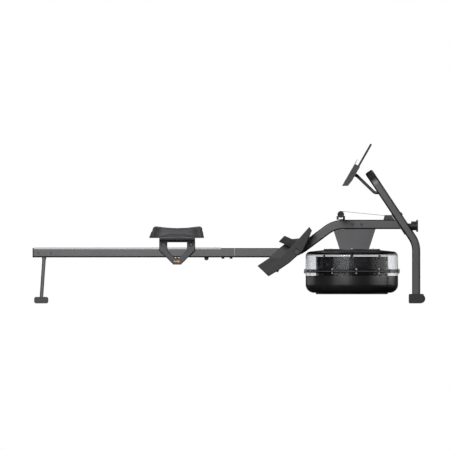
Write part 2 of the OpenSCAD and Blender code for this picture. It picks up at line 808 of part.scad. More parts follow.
// The housing's top lies along the beam and its bend
module housing_outline(t) {
    bend_x = up_x + beam_tangent - housing_x;
    intersection() {
        polygon([
            [-housing_low_l/2 + t, housing_low + t], [housing_low_l/2 - t, housing_low + t],
            [housing_top_l/2 - 1.1*t, beam_low - t], [1.1*t - housing_top_l/2, beam_low - t]
        ]);
        union() {
            translate([bend_x, beam_z - beam_bend_r])
                circle(beam_bend_r - tube_h/2 - bend_grow - gap - t, $fn = 96);
            translate([bend_x + 2*bend_lap, 0]) square([far, beam_low - t]);
        }
    }
}

module housing_shell() {
    difference() {
        union() {
            difference() {
                translate([housing_x, 0, 0]) plank(housing_w) housing_outline(0);
                translate([housing_x, 0, 0]) plank(housing_w - 2*housing_t) housing_outline(housing_t);
            }
            for (z = bearing_z) translate([tank_x, 0, z]) cylinder(d = boss_d, h = bearing_h);
        }
        for (z = bearing_z) translate([tank_x, 0, z - 1]) cylinder(d = bearing_d + 2*play, h = bearing_h + 1);
        translate([tank_x, 0, bearing_z[1] - 1]) cylinder(d = bearing_d + 2*play, h = bearing_h + 1);
        low_slot(1);
    }
}

module housing_left() color(frame_grey) intersection() {
    housing_shell();
    translate([-far/2, 0, -far/2]) cube(far);
}

module housing_right() color(frame_grey) intersection() {
    housing_shell();
    translate([-far/2, -far, -far/2]) cube(far);
}

module shaft_bearings() color(zinc) for (z = bearing_z) translate([tank_x, 0, z]) difference() {
    cylinder(d = bearing_d, h = bearing_h);
    translate([0, 0, -1]) cylinder(d = shaft_d + 2*play, h = bearing_h + 2);
}

spring_z = housing_low + bearing_h;
spring_h = spool_z - spring_z - 5;
sleeve_d = bearing_d + 6;

module recoil_spring() color(zinc) {
    turns = 5;
    steps = 24;
    pitch = 2.4;
    strip = 1;
    r0 = sleeve_d/2 + 1;
    translate([tank_x, 0, spring_z + gap]) linear_extrude(spring_h) polygon(concat(
        [for (i = [0:turns*steps]) let (r = r0 + pitch*i/steps) r*[cos(360*i/steps), sin(360*i/steps)]],
        [for (i = [turns*steps:-1:0])
            let (r = r0 + strip + pitch*i/steps) r*[cos(360*i/steps), sin(360*i/steps)]]
    ));
}

module strap_spool() color(dark_grey) translate([tank_x, 0, spool_z]) difference() {
    union() {
        for (z = [0, spool_h - spool_flange_t]) translate([0, 0, z])
            cylinder(d = spool_flange_d, h = spool_flange_t);
        cylinder(d = spool_wound_d, h = spool_h);
        translate([0, 0, -spring_h - 4]) cylinder(d = sleeve_d, h = spring_h + 5);
    }
    translate([0, 0, -1]) cylinder(d = bearing_d + 2*play, h = spool_h + 2);
    translate([0, 0, -spring_h - 5]) cylinder(d = bearing_d - 6, h = spring_h + 6);
}

module one_way_clutch() color(zinc) translate([tank_x, 0, spool_z + gap]) difference() {
    cylinder(d = bearing_d, h = spool_h - gap);
    translate([0, 0, -1]) cylinder(d = shaft_d + 2*play, h = spool_h + 2);
}

// Tank, turned about its axis

gasket_t = 2;
flange_d = tank_d + 2*flange_out;
bolt_ring_r = (tank_d + flange_out)/2;
bolt_turn = 5.4;
plate_screw_r = top_plate_d/2 - 20;
neck_d = 60;
plug_r = (top_plate_d + tank_d - 2*shoulder_r)/4;
plug_turn = 71;
plug_x = plug_r*cos(plug_turn);
plug_y = plug_r*sin(plug_turn);

module in_tank() {
    translate([tank_x, 0, 0]) children();
}

// Half a section of a solid with one rounded corner, at its top or at its bottom
module round_half(r, z0, z1, edge, top) {
    z = top ? z1 - edge : z0 + edge;
    translate([0, z0]) square([r - edge, z1 - z0]);
    translate([0, top ? z0 : z]) square([r, z1 - z0 - edge]);
    intersection() {
        translate([r - edge, z]) circle(edge);
        translate([0, z0]) square([r, z1 - z0]);
    }
}

module upper_half(t) {
    r = tank_d/2 - t;
    edge = shoulder_r - t;
    round_half(r, tank_split_z + gasket_t/2 - t, tank_shoulder_z - t, edge, true);
    polygon([
        [0, tank_shoulder_z - t - 1], [r - edge, tank_shoulder_z - t - 1], [r - edge, tank_shoulder_z - t],
        [top_plate_d/2, top_plate_z - t], [0, top_plate_z - t]
    ]);
}

module at_flange_bolts() {
    for (i = [0:flange_bolts - 1]) rotate(bolt_turn - 90 + 360*i/flange_bolts)
        translate([bolt_ring_r, 0, tank_split_z]) children();
}

module flange_bolt_holes() {
    at_flange_bolts() cylinder(d = 5 + 2*play, h = 60, center = true, $fn = 24);
}

module tank_upper() color("#8c8c90", 0.5) in_tank() difference() {
    union() {
        rotate_extrude($fn = 128) difference() {
            union() {
                upper_half(0);
                translate([tank_d/2 - tank_t, tank_split_z + gasket_t/2])
                    square([flange_out + tank_t, flange_h]);
            }
            upper_half(tank_t);
        }
        translate([plug_x, plug_y, top_plate_z - 11]) cylinder(d = plug_d + 8, h = 9);
    }
    translate([0, 0, tank_shoulder_z]) cylinder(d = neck_d, h = far, center = true);
    translate([plug_x, plug_y, tank_shoulder_z - 20]) cylinder(d = plug_d + 2*play, h = 40);
    flange_bolt_holes();
}

module tank_lower() color("#2e2e30") in_tank() difference() {
    rotate_extrude($fn = 128) difference() {
        union() {
            round_half(tank_d/2, tank_z, tank_split_z - gasket_t/2, bowl_r, false);
            translate([tank_d/2 - tank_t, tank_split_z - gasket_t/2 - flange_h])
                square([flange_out + tank_t, flange_h]);
        }
        round_half(tank_d/2 - tank_t, tank_z + tank_t, tank_split_z, bowl_r - tank_t, false);
    }
    flange_bolt_holes();
}

module tank_gasket() color(black) in_tank() difference() {
    translate([0, 0, tank_split_z - gasket_t/2]) cylinder(d = flange_d - 3, h = gasket_t, $fn = 128);
    translate([0, 0, tank_split_z - gasket_t]) cylinder(d = tank_d - 2*tank_t + 1, h = 2*gasket_t, $fn = 128);
    flange_bolt_holes();
}

// A flange bolt stands on end, with its head above and its nut below
module tank_bolts() color(pale) in_tank() {
    half = gasket_t/2 + flange_h;
    at_flange_bolts() {
        translate([0, 0, -half - 4]) cylinder(d = 5, h = 2*half + 8, $fn = 24);
        for (z = [half, -half - 4]) translate([0, 0, z]) cylinder(d = 8, h = 4, $fn = 24);
    }
    for (i = [0:5]) rotate(60*i + 30) translate([plate_screw_r, 0, top_plate_z + top_plate_t])
        cylinder(d = 10, h = 2.5, $fn = 24);
}

inner_t = 3;
lid_screw_r = inner_d/2 - 22;

module inner_tank() color("#303032") in_tank() difference() {
    translate([0, 0, tank_z + tank_t])
        cylinder(d = inner_d, h = inner_top_z - inner_t - tank_z - tank_t, $fn = 128);
    translate([0, 0, tank_z + tank_t + inner_t]) cylinder(d = inner_d - 2*inner_t, h = far, $fn = 128);
    for (i = [0:7]) rotate(45*i) translate([inner_d/2, 0, tank_z + tank_t + 15]) rotate([0, 90, 0])
        cylinder(d = 14, h = 30, center = true, $fn = 32);
}

module inner_lid() color(black) in_tank() {
    difference() {
        translate([0, 0, inner_top_z - inner_t]) cylinder(d = inner_d, h = inner_t, $fn = 128);
        cylinder(d = shaft_d + 6, h = far);
    }
    for (i = [-60, 60, 120, 240]) rotate(i - 90) translate([lid_screw_r, 0, inner_top_z])
        cylinder(d = 11, h = 10);
}

module base_disc() color(black) in_tank() translate([0, 0, tank_z - base_disc_t]) {
    edge = 2;
    cylinder(d1 = base_disc_d - 2*edge, d2 = base_disc_d, h = edge, $fn = 128);
    translate([0, 0, edge]) cylinder(d = base_disc_d, h = base_disc_t - edge, $fn = 128);
}

module top_plate() color(black) in_tank() difference() {
    translate([0, 0, top_plate_z]) cylinder(d = top_plate_d, h = top_plate_t, $fn = 128);
    cylinder(d = shaft_d + 6, h = far);
}

impeller_z = tank_z + tank_t + inner_t + 18;
impeller_h = 70;
impeller_r = 165;

module impeller() color(zinc) in_tank() {
    translate([0, 0, impeller_z - 6]) cylinder(d = shaft_d, h = beam_low - housing_t - 1 - impeller_z + 6);
    difference() {
        translate([0, 0, impeller_z]) cylinder(d = 46, h = impeller_h);
        translate([0, 0, impeller_z + 5]) cylinder(d = shaft_d + 4, h = impeller_h);
    }
    for (i = [0:blades - 1]) rotate(360*i/blades) translate([21, -2, impeller_z])
        cube([impeller_r - 21, 4, impeller_h]);
}

module fill_plug() color(black) in_tank() translate([plug_x, plug_y, top_plate_z - 1.5]) {
    translate([0, 0, -14]) cylinder(d = plug_d, h = 14);
    cylinder(d = plug_d + 6, h = 4);
}

// Drive strap

strap_mid = gap + strap_thick/2;
hub_d = grip_d - 2*strap_thick - 2*gap;
handle_run_r = hub_d/2 + strap_mid;
pulley_run_r = pulley_d/2 + strap_mid;
strap_dx = pulley_x - handle_x;
strap_dz = handle_z - pulley_z;
// The strap lies on top of both circles, at this angle above level towards the handle
strap_a = atan(strap_dz/strap_dx) + asin((handle_run_r - pulley_run_r)/norm([strap_dx, strap_dz]));
strap_run_l = sqrt(pow(norm([strap_dx, strap_dz]), 2) - pow(handle_run_r - pulley_run_r, 2));
// Where the inner run leaves the pulley and meets the spool
spool_mid_z = spool_z + spool_h/2 - 2;
spool_run_r = spool_wound_d/2 + strap_mid;
inner_a = atan((pulley_z - pulley_run_r - spool_mid_z)/(pulley_x - tank_x));
spool_a = asin(spool_run_r/(pulley_x - tank_x));

module strap_section(g = 0) {
    square([strap_thick + 2*g, strap_width], center = true);
}

module drive_strap() color(black) {
    translate([pulley_x - pulley_run_r*sin(-strap_a), 0, pulley_z + pulley_run_r*cos(strap_a)])
        rotate([0, strap_a - 90, 0]) linear_extrude(strap_run_l) strap_section();
    tube_bend(handle_x, handle_z, handle_run_r, 90 - strap_a, 260) strap_section(bend_grow);
}

function ease(t) = t < 0 ? 0 : t*t*(3 - 2*t);

// The strap lies flat where it leaves the pulley, and stands on edge where it meets the spool
module inner_strap() color(black) {
    steps = 20;
    p = [pulley_x + pulley_run_r*sin(inner_a), 0, pulley_z - pulley_run_r*cos(inner_a)];
    q = [tank_x + spool_run_r*sin(spool_a), -spool_run_r*cos(spool_a), spool_mid_z];
    bend(pulley_x, pulley_z, pulley_run_r, -90 + inner_a, 180 - inner_a - strap_a) strap_section();
    loft([for (i = [0:steps])
        let (t = i/steps, c = p + t*(q - p), a = 90*ease(2*t - 1),
            w = strap_width/2*[0, cos(a), sin(a)], h = strap_thick/2*[0, -sin(a), cos(a)])
        [c - w - h, c - w + h, c + w + h, c + w - h]]);
}

module front_pulley() color(dark_grey) translate([pulley_x, 0, pulley_z]) rotate([90, 0, 0]) {
    rotate_extrude() {
        translate([0, -strap_width/2 - 0.6]) square([pulley_d/2, strap_width + 1.2]);
        translate([0, -pulley_box_w/2 + 1]) square([spindle_d/2, pulley_box_w - 2]);
    }
}

pulley_box_h = 25;
pulley_box_back = 30;
pulley_box_front = 45;

module pulley_box() color(dark_grey) {
    t = 2;
    slot_w = strap_width + 3;
    difference() {
        translate([pulley_x, 0, beam_top]) plank(pulley_box_w) polygon([
            [-pulley_box_back, 0], [-pulley_box_back + 7, pulley_box_h], [pulley_box_front, pulley_box_h], [pulley_box_front, 0]
        ]);
        past_flange(flange_t + 1);
        difference() {
            translate([pulley_x, 0, beam_top - 1]) plank(pulley_box_w - 2*t) polygon([
                [-pulley_box_back + t, 0], [-pulley_box_back + t + 7, pulley_box_h + 1 - t],
                [pulley_box_front, pulley_box_h + 1 - t], [pulley_box_front, 0]
            ]);
            past_flange(flange_t + 1 + t);
        }
        translate([pulley_x, 0, pulley_z]) rod_y(spindle_d + 2*play, pulley_box_w + 2);
        translate([pulley_x - pulley_box_back - 5, -slot_w/2, beam_top + 14])
            cube([22, slot_w, pulley_box_h]);
    }
}

// Handle

bar_drop = 8.2;
finger_gap = sqrt(pow(bar_d/2 + gap, 2) - pow(bar_drop, 2));
finger_t = 11.5;
finger_y = [22, 38];
holder_base_t = 4;

module handle_holder() color(black) difference() {
    seat_z = beam_top + bend_grow;
    union() {
        translate([handle_x, 0, seat_z]) linear_extrude(holder_base_t)
            square([2*(finger_gap + finger_t), 2*finger_y[1]], center = true);
        for (x = [-finger_gap - finger_t, finger_gap], y = [-finger_y[1], finger_y[0]])
            translate([handle_x + x, y, seat_z])
                cube([finger_t, finger_y[1] - finger_y[0], handle_up - bar_drop - bend_grow]);
    }
    translate([handle_x, 0, handle_z]) rotate([0, pull_a - 90, 0]) linear_extrude(80)
        square([bar_d + 2*gap, far/10], center = true);
}

module handle_bar() color(zinc) translate([handle_x, 0, handle_z]) {
    rod_y(bar_d, handle_l - 8);
    rod_y(hub_d, strap_width + 2);
    for (y = [-1, 1]) translate([0, y*(strap_width/2 + 2.5), 0]) rod_y(grip_d, 3);
}

module handle_grips() color(black) for (y = [-1, 1])
    translate([handle_x, y*(grip_gap + handle_l)/4, handle_z]) rotate([y*-90, 0, 0]) {
        grip_l = (handle_l - grip_gap)/2;
        edge = 4;
        difference() {
            rotate_extrude() {
                translate([0, -grip_l/2]) square([grip_d/2 - edge, grip_l]);
                translate([0, edge - grip_l/2]) square([grip_d/2, grip_l - 2*edge]);
                for (z = [-1, 1]) translate([grip_d/2 - edge, z*(grip_l/2 - edge)]) circle(edge);
            }
            translate([0, 0, -grip_l/2 - 1]) cylinder(d = bar_d + 2*play, h = grip_l - 3);
        }
    }

// Console, drawn from its lower front edge: z up the face, x into its depth

hinge_d = 18;
hinge_up = 86;
hinge_back = console_t + hinge_d/2 + 3.6;
hinge_w = 24;
hinge_pin_d = 8;
elbow_r = 25;
elbow_back = 42.1;
elbow_x = console_bar_x - elbow_back;
elbow_tangent = elbow_r*tan(arm_a/2);
hinge_x = elbow_x - arm_l*cos(arm_a);
hinge_z = console_bar_z + arm_l*sin(arm_a);
back_lean = 90 - console_a;
front_t = 20;
shell_t = 3;
lip_l = 26;
lip_t = 3;
tablet_gap = 16;

module on_console() {
    translate([hinge_x, 0, hinge_z]) rotate([0, back_lean, 0])
        translate([-hinge_back, 0, -hinge_up]) children();
}

module console_arm() color(frame_grey) {
    difference() {
        union() {
            run(elbow_x + elbow_tangent, console_bar_z, 0, elbow_back - elbow_tangent) circle(d = arm_d);
            tube_bend(elbow_x + elbow_tangent, console_bar_z + elbow_r, elbow_r, 270 - arm_a, arm_a)
                circle(d = arm_d + 2*bend_grow);
            run(hinge_x, hinge_z, -arm_a, arm_l - elbow_tangent) circle(d = arm_d);
            translate([hinge_x, 0, hinge_z]) rod_y(hinge_d, hinge_w);
        }
        translate([console_bar_x, 0, console_bar_z]) rod_y(console_bar_d, 2*hinge_w);
        translate([hinge_x, 0, hinge_z]) rod_y(hinge_pin_d + 2*play, hinge_w + 2);
    }
}

button_z = 30;
button_y = 45;
button_d = 14;
button_lip = 1.5;
screen_z = 48;
screen_h = 76;
screen_w = 150;
screen_t = 1.5;

// The slab's outline between two depths, cut level at its lower end
module slab_outline(x0, x1, cut) {
    polygon([
        [x0, x0*tan(back_lean)], [x1 - cut, (x1 - cut)*tan(back_lean)], [x1, x1*tan(back_lean) + 6*cut],
        [x1, console_l], [x0, console_l]
    ]);
}

module console_body() color(dark_grey) on_console() difference() {
    union() {
        plank(console_w) slab_outline(0, front_t, 0);
        plank(console_w - 30) translate([0, console_l - 5]) square([lip_t, lip_l + 5]);
    }
    plank(console_w - 2*shell_t) polygon([
        [shell_t, shell_t*tan(back_lean) + 4], [front_t + 1, (front_t + 1)*tan(back_lean) + 4],
        [front_t + 1, console_l - 4], [shell_t, console_l - 4]
    ]);
    translate([-1, -screen_w/2, screen_z]) cube([screen_t + 1, screen_w, screen_h]);
    for (y = [-1, 0, 1]) translate([-1, y*button_y, button_z]) rotate([0, 90, 0])
        cylinder(d = button_d + 2*play, h = shell_t + 2);
}

module console_screen() color(black) on_console() translate([0, -screen_w/2 + 0.1, screen_z + 0.1])
    cube([screen_t, screen_w - 0.2, screen_h - 0.2]);

module button(i) color(zinc) on_console()
    translate([-button_lip/3, i*button_y, button_z]) rotate([0, 90, 0]) {
        cylinder(d = button_d, h = shell_t + button_lip);
        translate([0, 0, shell_t + button_lip/3 + gap/3]) cylinder(d = button_d + 4, h = button_lip);
    }

module button_left() button(1);
module button_middle() button(0);
module button_right() button(-1);

module console_back() color(dark_grey) on_console() {
    ear_t = 5;
    plank(console_w) slab_outline(front_t, console_t, 5.5);
    for (y = [-1, 1]) translate([0, y*(hinge_w/2 + gap + ear_t/2), 0]) difference() {
        union() {
            translate([hinge_back, 0, hinge_up]) rod_y(hinge_d, ear_t);
            translate([console_t - 0.5, -ear_t/2, hinge_up - hinge_d/2])
                cube([hinge_back - console_t + 0.5, ear_t, hinge_d]);
        }
    }
    translate([hinge_back, 0, hinge_up]) rod_y(hinge_pin_d, hinge_w + 2*ear_t + 6);
}

module tablet_holder() color(dark_grey) on_console() {
    difference() {
        plank(console_w - 20) translate([lip_t + tablet_gap, console_l]) square([tablet_t, tablet_l]);
        for (y = [-1, 0, 1]) translate([0, y*55, console_l + tablet_l/2 + 5])
            rotate([0, 90, 0]) linear_extrude(console_t + 20) rounded(tablet_l - 50, 30, 10);
    }
}

// Seat

axle_up_z = strip_top + roller_d/2;
guide_z = rail_low - guide_d/2 - gap;
plate_y = tube_w/2 + plate_gap + plate_t/2;
plate_top = axle_up_z + 24.2;
plate_low = rail_low - plate_drop;
seat_z = plate_top + seat_base_t;
axle_reach = 2*plate_y + plate_t;

module in_seat() {
    translate([seat_x, 0, 0]) children();
}

module plate_outline() {
    half = plate_w/2;
    foot = 20.5;
    inner = half - plate_arm;
    shoulder = plate_low + half - foot;
    sill = plate_low + 33;
    difference() {
        polygon([
            [-half, plate_top], [-half, shoulder], [-foot, plate_low], [foot, plate_low], [half, shoulder],
            [half, plate_top]
        ]);
        polygon([
            [-inner, plate_top - 12.5], [-inner, sill + inner - 9], [-9, sill], [9, sill],
            [inner, sill + inner - 9], [inner, plate_top - 12.5]
        ]);
    }
}

module carriage() color(frame_grey) in_seat() {
    flange_in = 28;
    for (y = [-1, 1]) {
        translate([0, y*plate_y, 0]) plank(plate_t) plate_outline();
        translate([-plate_w/2, y*(plate_y - plate_t/2 - flange_in/2) - flange_in/2, plate_top - plate_t])
            cube([plate_w, flange_in, plate_t]);
    }
    translate([-plate_w/2, -seat_base_w/2, plate_top]) cube([plate_w, seat_base_w, seat_base_t]);
    for (x = [-1, 1]) translate([x*roller_pitch/2, 0, axle_up_z]) {
        rod_y(carriage_axle_d, axle_reach);
        for (y = [-1, 1]) translate([0, y*axle_reach/2, 0]) rotate([y*90, 0, 0]) bolt(6, 1, 15, 3);
    }
    translate([0, 0, guide_z]) rod_y(carriage_axle_d, axle_reach);
}

module roller(d, w) rotate([90, 0, 0]) rotate_extrude() {
    edge = 2;
    inner = carriage_axle_d/2 + play;
    polygon([
        [inner, -w/2], [d/2 - edge, -w/2], [d/2, edge - w/2],
        [d/2, w/2 - edge], [d/2 - edge, w/2], [inner, w/2]
    ]);
}

roller_y = tube_w/2 - roller_w/2 - 6;

module roller_pair(side) color(black) in_seat() for (y = [-1, 1])
    translate([side*roller_pitch/2, y*roller_y, axle_up_z + play]) roller(roller_d, roller_w);

module front_rollers() roller_pair(1);
module rear_rollers() roller_pair(-1);

module guide_roller() color(black) in_seat() translate([0, 0, guide_z]) roller(guide_d, tube_w - 16);

pad_points = 48;
pad_bottom_x = -3.5;
pad_top_x = 2;
pad_draw_in = 5;
pad_edge = 14;
pad_taper = 12;

function squircle(i, l, w) =
    let (a = 360*i/pad_points) [l/2*power(cos(a), 0.4), w/2*power(sin(a), 0.4)];

// The pad's top is a saddle: it dips between its front and rear edges and hollows a little along the middle
function saddle(x, y) =
    pad_h - pad_dip*(1 - pow(x/(pad_top_l/2), 2)) - 5*pow(cos(min(90, abs(y)*150/pad_w)), 2);

// A ring of the pad's side at the height share t
function side_ring(t) = [for (i = [0:pad_points - 1])
    let (s = pad_draw_in*4*t*(1 - t),
        p = squircle(i, pad_l + (pad_top_l - pad_l)*t - s, pad_w - pad_taper*t - s),
        x = p[0] + pad_bottom_x + (pad_top_x - pad_bottom_x)*t)
    [x, p[1], seat_z + gap + t*(saddle(x - pad_top_x, p[1]) - pad_edge)]];

// A ring of the pad's top at the size share k, lowered by d
function top_ring(k, d) = [for (i = [0:pad_points - 1])
    let (p = k*squircle(i, pad_top_l, pad_w - pad_taper))
    [p[0] + pad_top_x, p[1], seat_z + gap + saddle(p[0], p[1]) - d]];

module seat_pad() color(dark_grey) in_seat() {
    loft(concat(
        [for (t = [0, 0.08, 0.3, 0.55, 0.8, 1]) side_ring(t)],
        [for (a = [20:20:80]) top_ring(1 - pad_edge/pad_l*2*(1 - cos(a)), pad_edge*(1 - sin(a)))],
        [for (k = [0.88, 0.78, 0.66, 0.54, 0.42, 0.3, 0.18, 0.06]) top_ring(k, 0)]
    ));
}

seat_rail();
running_strip();
rail_end_cap();
rail_stops();
splice_tube();
frame_bolts();
main_beam();
support_hoop();
front_foot_tube();
front_caps();
wheel_axles();
storage_feet();
rear_leg();
rear_foot_tube();
rear_caps();
footrest_axle();
footboard_left();
footboard_right();
foot_straps();
heel_pins();
housing_left();
housing_right();
top_plate();
tank_upper();
tank_lower();
tank_gasket();
tank_bolts();
inner_tank();
inner_lid();
base_disc();
shaft_bearings();
recoil_spring();
pulley_box();
inner_strap();
handle_holder();
console_arm();
wheel_left();
wheel_right();
heel_cup_left();
heel_cup_right();
strap_spool();
one_way_clutch();
impeller();
front_pulley();
fill_plug();
handle_bar();
handle_grips();
drive_strap();
console_body();
console_back();
console_screen();
button_left();
button_middle();
button_right();
tablet_holder();
seat_pad();
carriage();
front_rollers();
rear_rollers();
guide_roller();
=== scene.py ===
# %% [markdown]
# # Dressing a water rowing machine
# The machine stands on the floor with its water tank at +X and its rail towards -X. Its hard pieces
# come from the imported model, already in metres and in place. This lesson gives them their finishes,
# remakes the soft pieces, and sets up the camera and the lights.

# %% The frame
import json
from math import atan2, cos, degrees, pi, radians, sin, sqrt

import bmesh
import bpy
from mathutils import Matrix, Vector


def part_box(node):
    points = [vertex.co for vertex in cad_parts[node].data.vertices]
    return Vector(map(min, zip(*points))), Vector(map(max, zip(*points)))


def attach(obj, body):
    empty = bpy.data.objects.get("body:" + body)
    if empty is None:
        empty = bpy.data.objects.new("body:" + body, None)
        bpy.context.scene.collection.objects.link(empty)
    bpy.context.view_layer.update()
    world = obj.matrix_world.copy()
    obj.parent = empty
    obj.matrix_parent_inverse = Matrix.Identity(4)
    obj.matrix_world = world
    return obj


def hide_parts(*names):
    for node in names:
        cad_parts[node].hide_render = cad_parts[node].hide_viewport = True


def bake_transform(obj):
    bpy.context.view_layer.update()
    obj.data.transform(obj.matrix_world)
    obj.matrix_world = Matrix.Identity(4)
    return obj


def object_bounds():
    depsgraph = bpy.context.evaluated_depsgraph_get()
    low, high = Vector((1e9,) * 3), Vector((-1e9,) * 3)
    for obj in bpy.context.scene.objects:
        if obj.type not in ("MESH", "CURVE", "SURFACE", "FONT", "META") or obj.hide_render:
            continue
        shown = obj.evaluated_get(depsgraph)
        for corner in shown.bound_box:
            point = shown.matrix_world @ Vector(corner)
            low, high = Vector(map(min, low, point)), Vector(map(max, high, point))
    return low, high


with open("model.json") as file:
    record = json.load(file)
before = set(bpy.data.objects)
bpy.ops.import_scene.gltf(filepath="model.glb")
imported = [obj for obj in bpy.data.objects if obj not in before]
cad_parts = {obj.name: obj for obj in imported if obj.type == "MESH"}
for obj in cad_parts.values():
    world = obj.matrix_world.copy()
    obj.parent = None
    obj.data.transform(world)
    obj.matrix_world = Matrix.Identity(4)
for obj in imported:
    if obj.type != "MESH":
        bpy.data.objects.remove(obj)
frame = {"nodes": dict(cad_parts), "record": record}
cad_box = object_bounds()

MM = 0.001
NODES = frame["nodes"]
CAD_LOW, CAD_HIGH = Vector(cad_box[0]), Vector(cad_box[1])
print("loaded", len(NODES), "nodes; size", [round(v, 3) for v in CAD_HIGH - CAD_LOW])

# %% [markdown]
# ## Small tools
# Blender's operators act on whatever is selected, so each step starts with nothing selected. In edit
# mode the faces are picked by a test of their place or direction, as a hand would click them. A node's
# mesh is loose triangles with stored normals, so its copy is welded and the stored normals are cleared.

# %% Picking pieces and faces
def take(piece):
    """Leaves piece as the only selected and active object."""
    if bpy.context.object and bpy.context.object.mode != "OBJECT":
        bpy.ops.object.mode_set(mode="OBJECT")
    bpy.ops.object.select_all(action="DESELECT")
    piece.select_set(True)
    bpy.context.view_layer.objects.active = piece
    return piece


def edit(piece, kind="FACE"):
    """Opens piece in edit mode with nothing selected."""
    take(piece)
    bpy.ops.object.mode_set(mode="EDIT")
    bpy.ops.mesh.select_mode(type=kind)
    bpy.ops.mesh.select_all(action="DESELECT")


def pick(piece, test):
    """In edit mode, selects the faces for which test(face) is true, and says how many they are."""
    mesh = bmesh.from_edit_mesh(piece.data)
    mesh.normal_update()
    bpy.ops.mesh.select_all(action="DESELECT")
    found = [face for face in mesh.faces if test(face)]
    for face in found:
        face.select_set(True)
    mesh.select_flush(True)
    bmesh.update_edit_mesh(piece.data)
    return len(found)


def close_edit():
    bpy.ops.object.mode_set(mode="OBJECT")


def modify(piece, kind, **settings):
    """Adds a modifier to piece and applies it."""
    take(piece)
    modifier = piece.modifiers.new(kind.title(), kind)
    for key, value in settings.items():
        setattr(modifier, key, value)
    bpy.ops.object.modifier_apply(modifier=modifier.name)


# %% Copies and finished pieces
WELD = 0.02*MM


def copy_of(name, new_name):
    """A new piece with a CAD node's mesh, its loose triangles merged."""
    piece = bpy.data.objects.new(new_name, NODES[name].data.copy())
    bpy.context.scene.collection.objects.link(piece)
    piece.data.materials.clear()
    take(piece)
    if piece.data.has_custom_normals:
        bpy.ops.mesh.customdata_custom_splitnormals_clear()
    edit(piece, "VERT")
    bpy.ops.mesh.select_all(action="SELECT")
    bpy.ops.mesh.remove_doubles(threshold=WELD)
    bpy.ops.mesh.select_all(action="SELECT")
    bpy.ops.mesh.mark_sharp(clear=True)
    close_edit()
    return piece


def seat_piece(piece, name, body, material, stands_for=(), smooth=35):
    """Names a finished piece, bakes its place into its mesh and hangs it on its body."""
    take(piece)
    bpy.ops.object.transform_apply(location=True, rotation=True, scale=True)
    edit(piece)
    bpy.ops.mesh.select_all(action="SELECT")
    bpy.ops.mesh.normals_make_consistent(inside=False)
    close_edit()
    bpy.ops.object.shade_smooth_by_angle(angle=radians(smooth))
    piece.name = piece.data.name = name
    piece.data.materials.clear()
    piece.data.materials.append(material)
    if body:
        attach(piece, body)
    if stands_for:
        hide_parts(*stands_for)
    print(name, "has", len(piece.data.polygons), "faces")
    return piece


# %% [markdown]
# ## Finishes
# Every material is built from nodes. One function turns the colours, written as sRGB hex values, into
# the linear values that the shader needs, and one adds a node with its settings and links.

# %% Colours and nodes
def linear(hex_colour):
    """An sRGB hex colour as linear RGBA."""
    parts = [int(hex_colour[i:i + 2], 16)/255 for i in (1, 3, 5)]
    return [c/12.92 if c <= 0.04045 else ((c + 0.055)/1.055)**2.4 for c in parts] + [1.0]


def add_node(tree, kind, settings=None, links=None):
    """One node, with its settings by name or by socket, and the links that lead into it."""
    node = tree.nodes.new(kind)
    for key, value in (settings or {}).items():
        if isinstance(key, int) or (isinstance(key, str) and key in node.inputs):
            node.inputs[key].default_value = value
        else:
            setattr(node, key, value)
    for key, source in (links or {}).items():
        tree.links.new(source, node.inputs[key])
    return node


def new_finish(name, colour, roughness, **sockets):
    """A material with one shader; its even values sit on the shader's own sockets."""
    material = bpy.data.materials.new(name)
    material.use_nodes = True
    tree = material.node_tree
    tree.nodes.clear()
    shader = add_node(tree, "ShaderNodeBsdfPrincipled", {
        "Base Color": linear(colour), "Roughness": roughness, **sockets})
    add_node(tree, "ShaderNodeOutputMaterial", links={"Surface": shader.outputs["BSDF"]})
    print("mixed", name, colour)
    return material, tree, shader


# %% [markdown]
# Most real finishes carry a fine grain: the orange peel of a powder coat, the spark texture of a mould,
# the pores of foam. One function lays such a grain over a material: it varies the colour and the gloss
# a little, and bends the light with a bump of a real depth in millimetres.

# %% Grain
GRAIN_SHARE = 0.55
DARK_END, LIGHT_END = 0.3, 0.7


def lay_grain(tree, shader, grain_mm, depth_mm, dark, light, gloss=0.05, stretch=(1, 1, 1), detail=3.0,
              broad_mm=60.0):
    """Colours run from dark to light along a grain of grain_mm, with a slow drift over broad_mm."""
    place = add_node(tree, "ShaderNodeTexCoord").outputs["Object"]
    mapping = add_node(tree, "ShaderNodeMapping", {"Scale": stretch}, {"Vector": place})
    stretched = mapping.outputs["Vector"]
    grain = add_node(tree, "ShaderNodeTexNoise", {"Scale": 1/(grain_mm*MM), "Detail": detail},
                     {"Vector": stretched})
    broad = add_node(tree, "ShaderNodeTexNoise", {"Scale": 1/(broad_mm*MM), "Detail": 2.0},
                     {"Vector": place})
    drift = add_node(tree, "ShaderNodeMath", {"operation": "MULTIPLY", 1: 1 - GRAIN_SHARE},
                     {0: broad.outputs["Fac"]})
    blend = add_node(tree, "ShaderNodeMath", {"operation": "MULTIPLY_ADD", 1: GRAIN_SHARE},
                     {0: grain.outputs["Fac"], 2: drift.outputs[0]})
    ramp = add_node(tree, "ShaderNodeValToRGB", links={"Fac": blend.outputs[0]})
    dark_stop, light_stop = ramp.color_ramp.elements
    dark_stop.position, light_stop.position = DARK_END, LIGHT_END
    dark_stop.color, light_stop.color = linear(dark), linear(light)
    tree.links.new(ramp.outputs["Color"], shader.inputs["Base Color"])
    rough = shader.inputs["Roughness"].default_value
    spread = add_node(tree, "ShaderNodeMapRange", {"To Min": rough - gloss, "To Max": rough + gloss},
                      {"Value": grain.outputs["Fac"]})
    tree.links.new(spread.outputs["Result"], shader.inputs["Roughness"])
    if depth_mm:
        bump = add_node(tree, "ShaderNodeBump", {"Strength": 1.0, "Distance": depth_mm*MM},
                        {"Height": grain.outputs["Fac"]})
        tree.links.new(bump.outputs["Normal"], shader.inputs["Normal"])
    return stretched


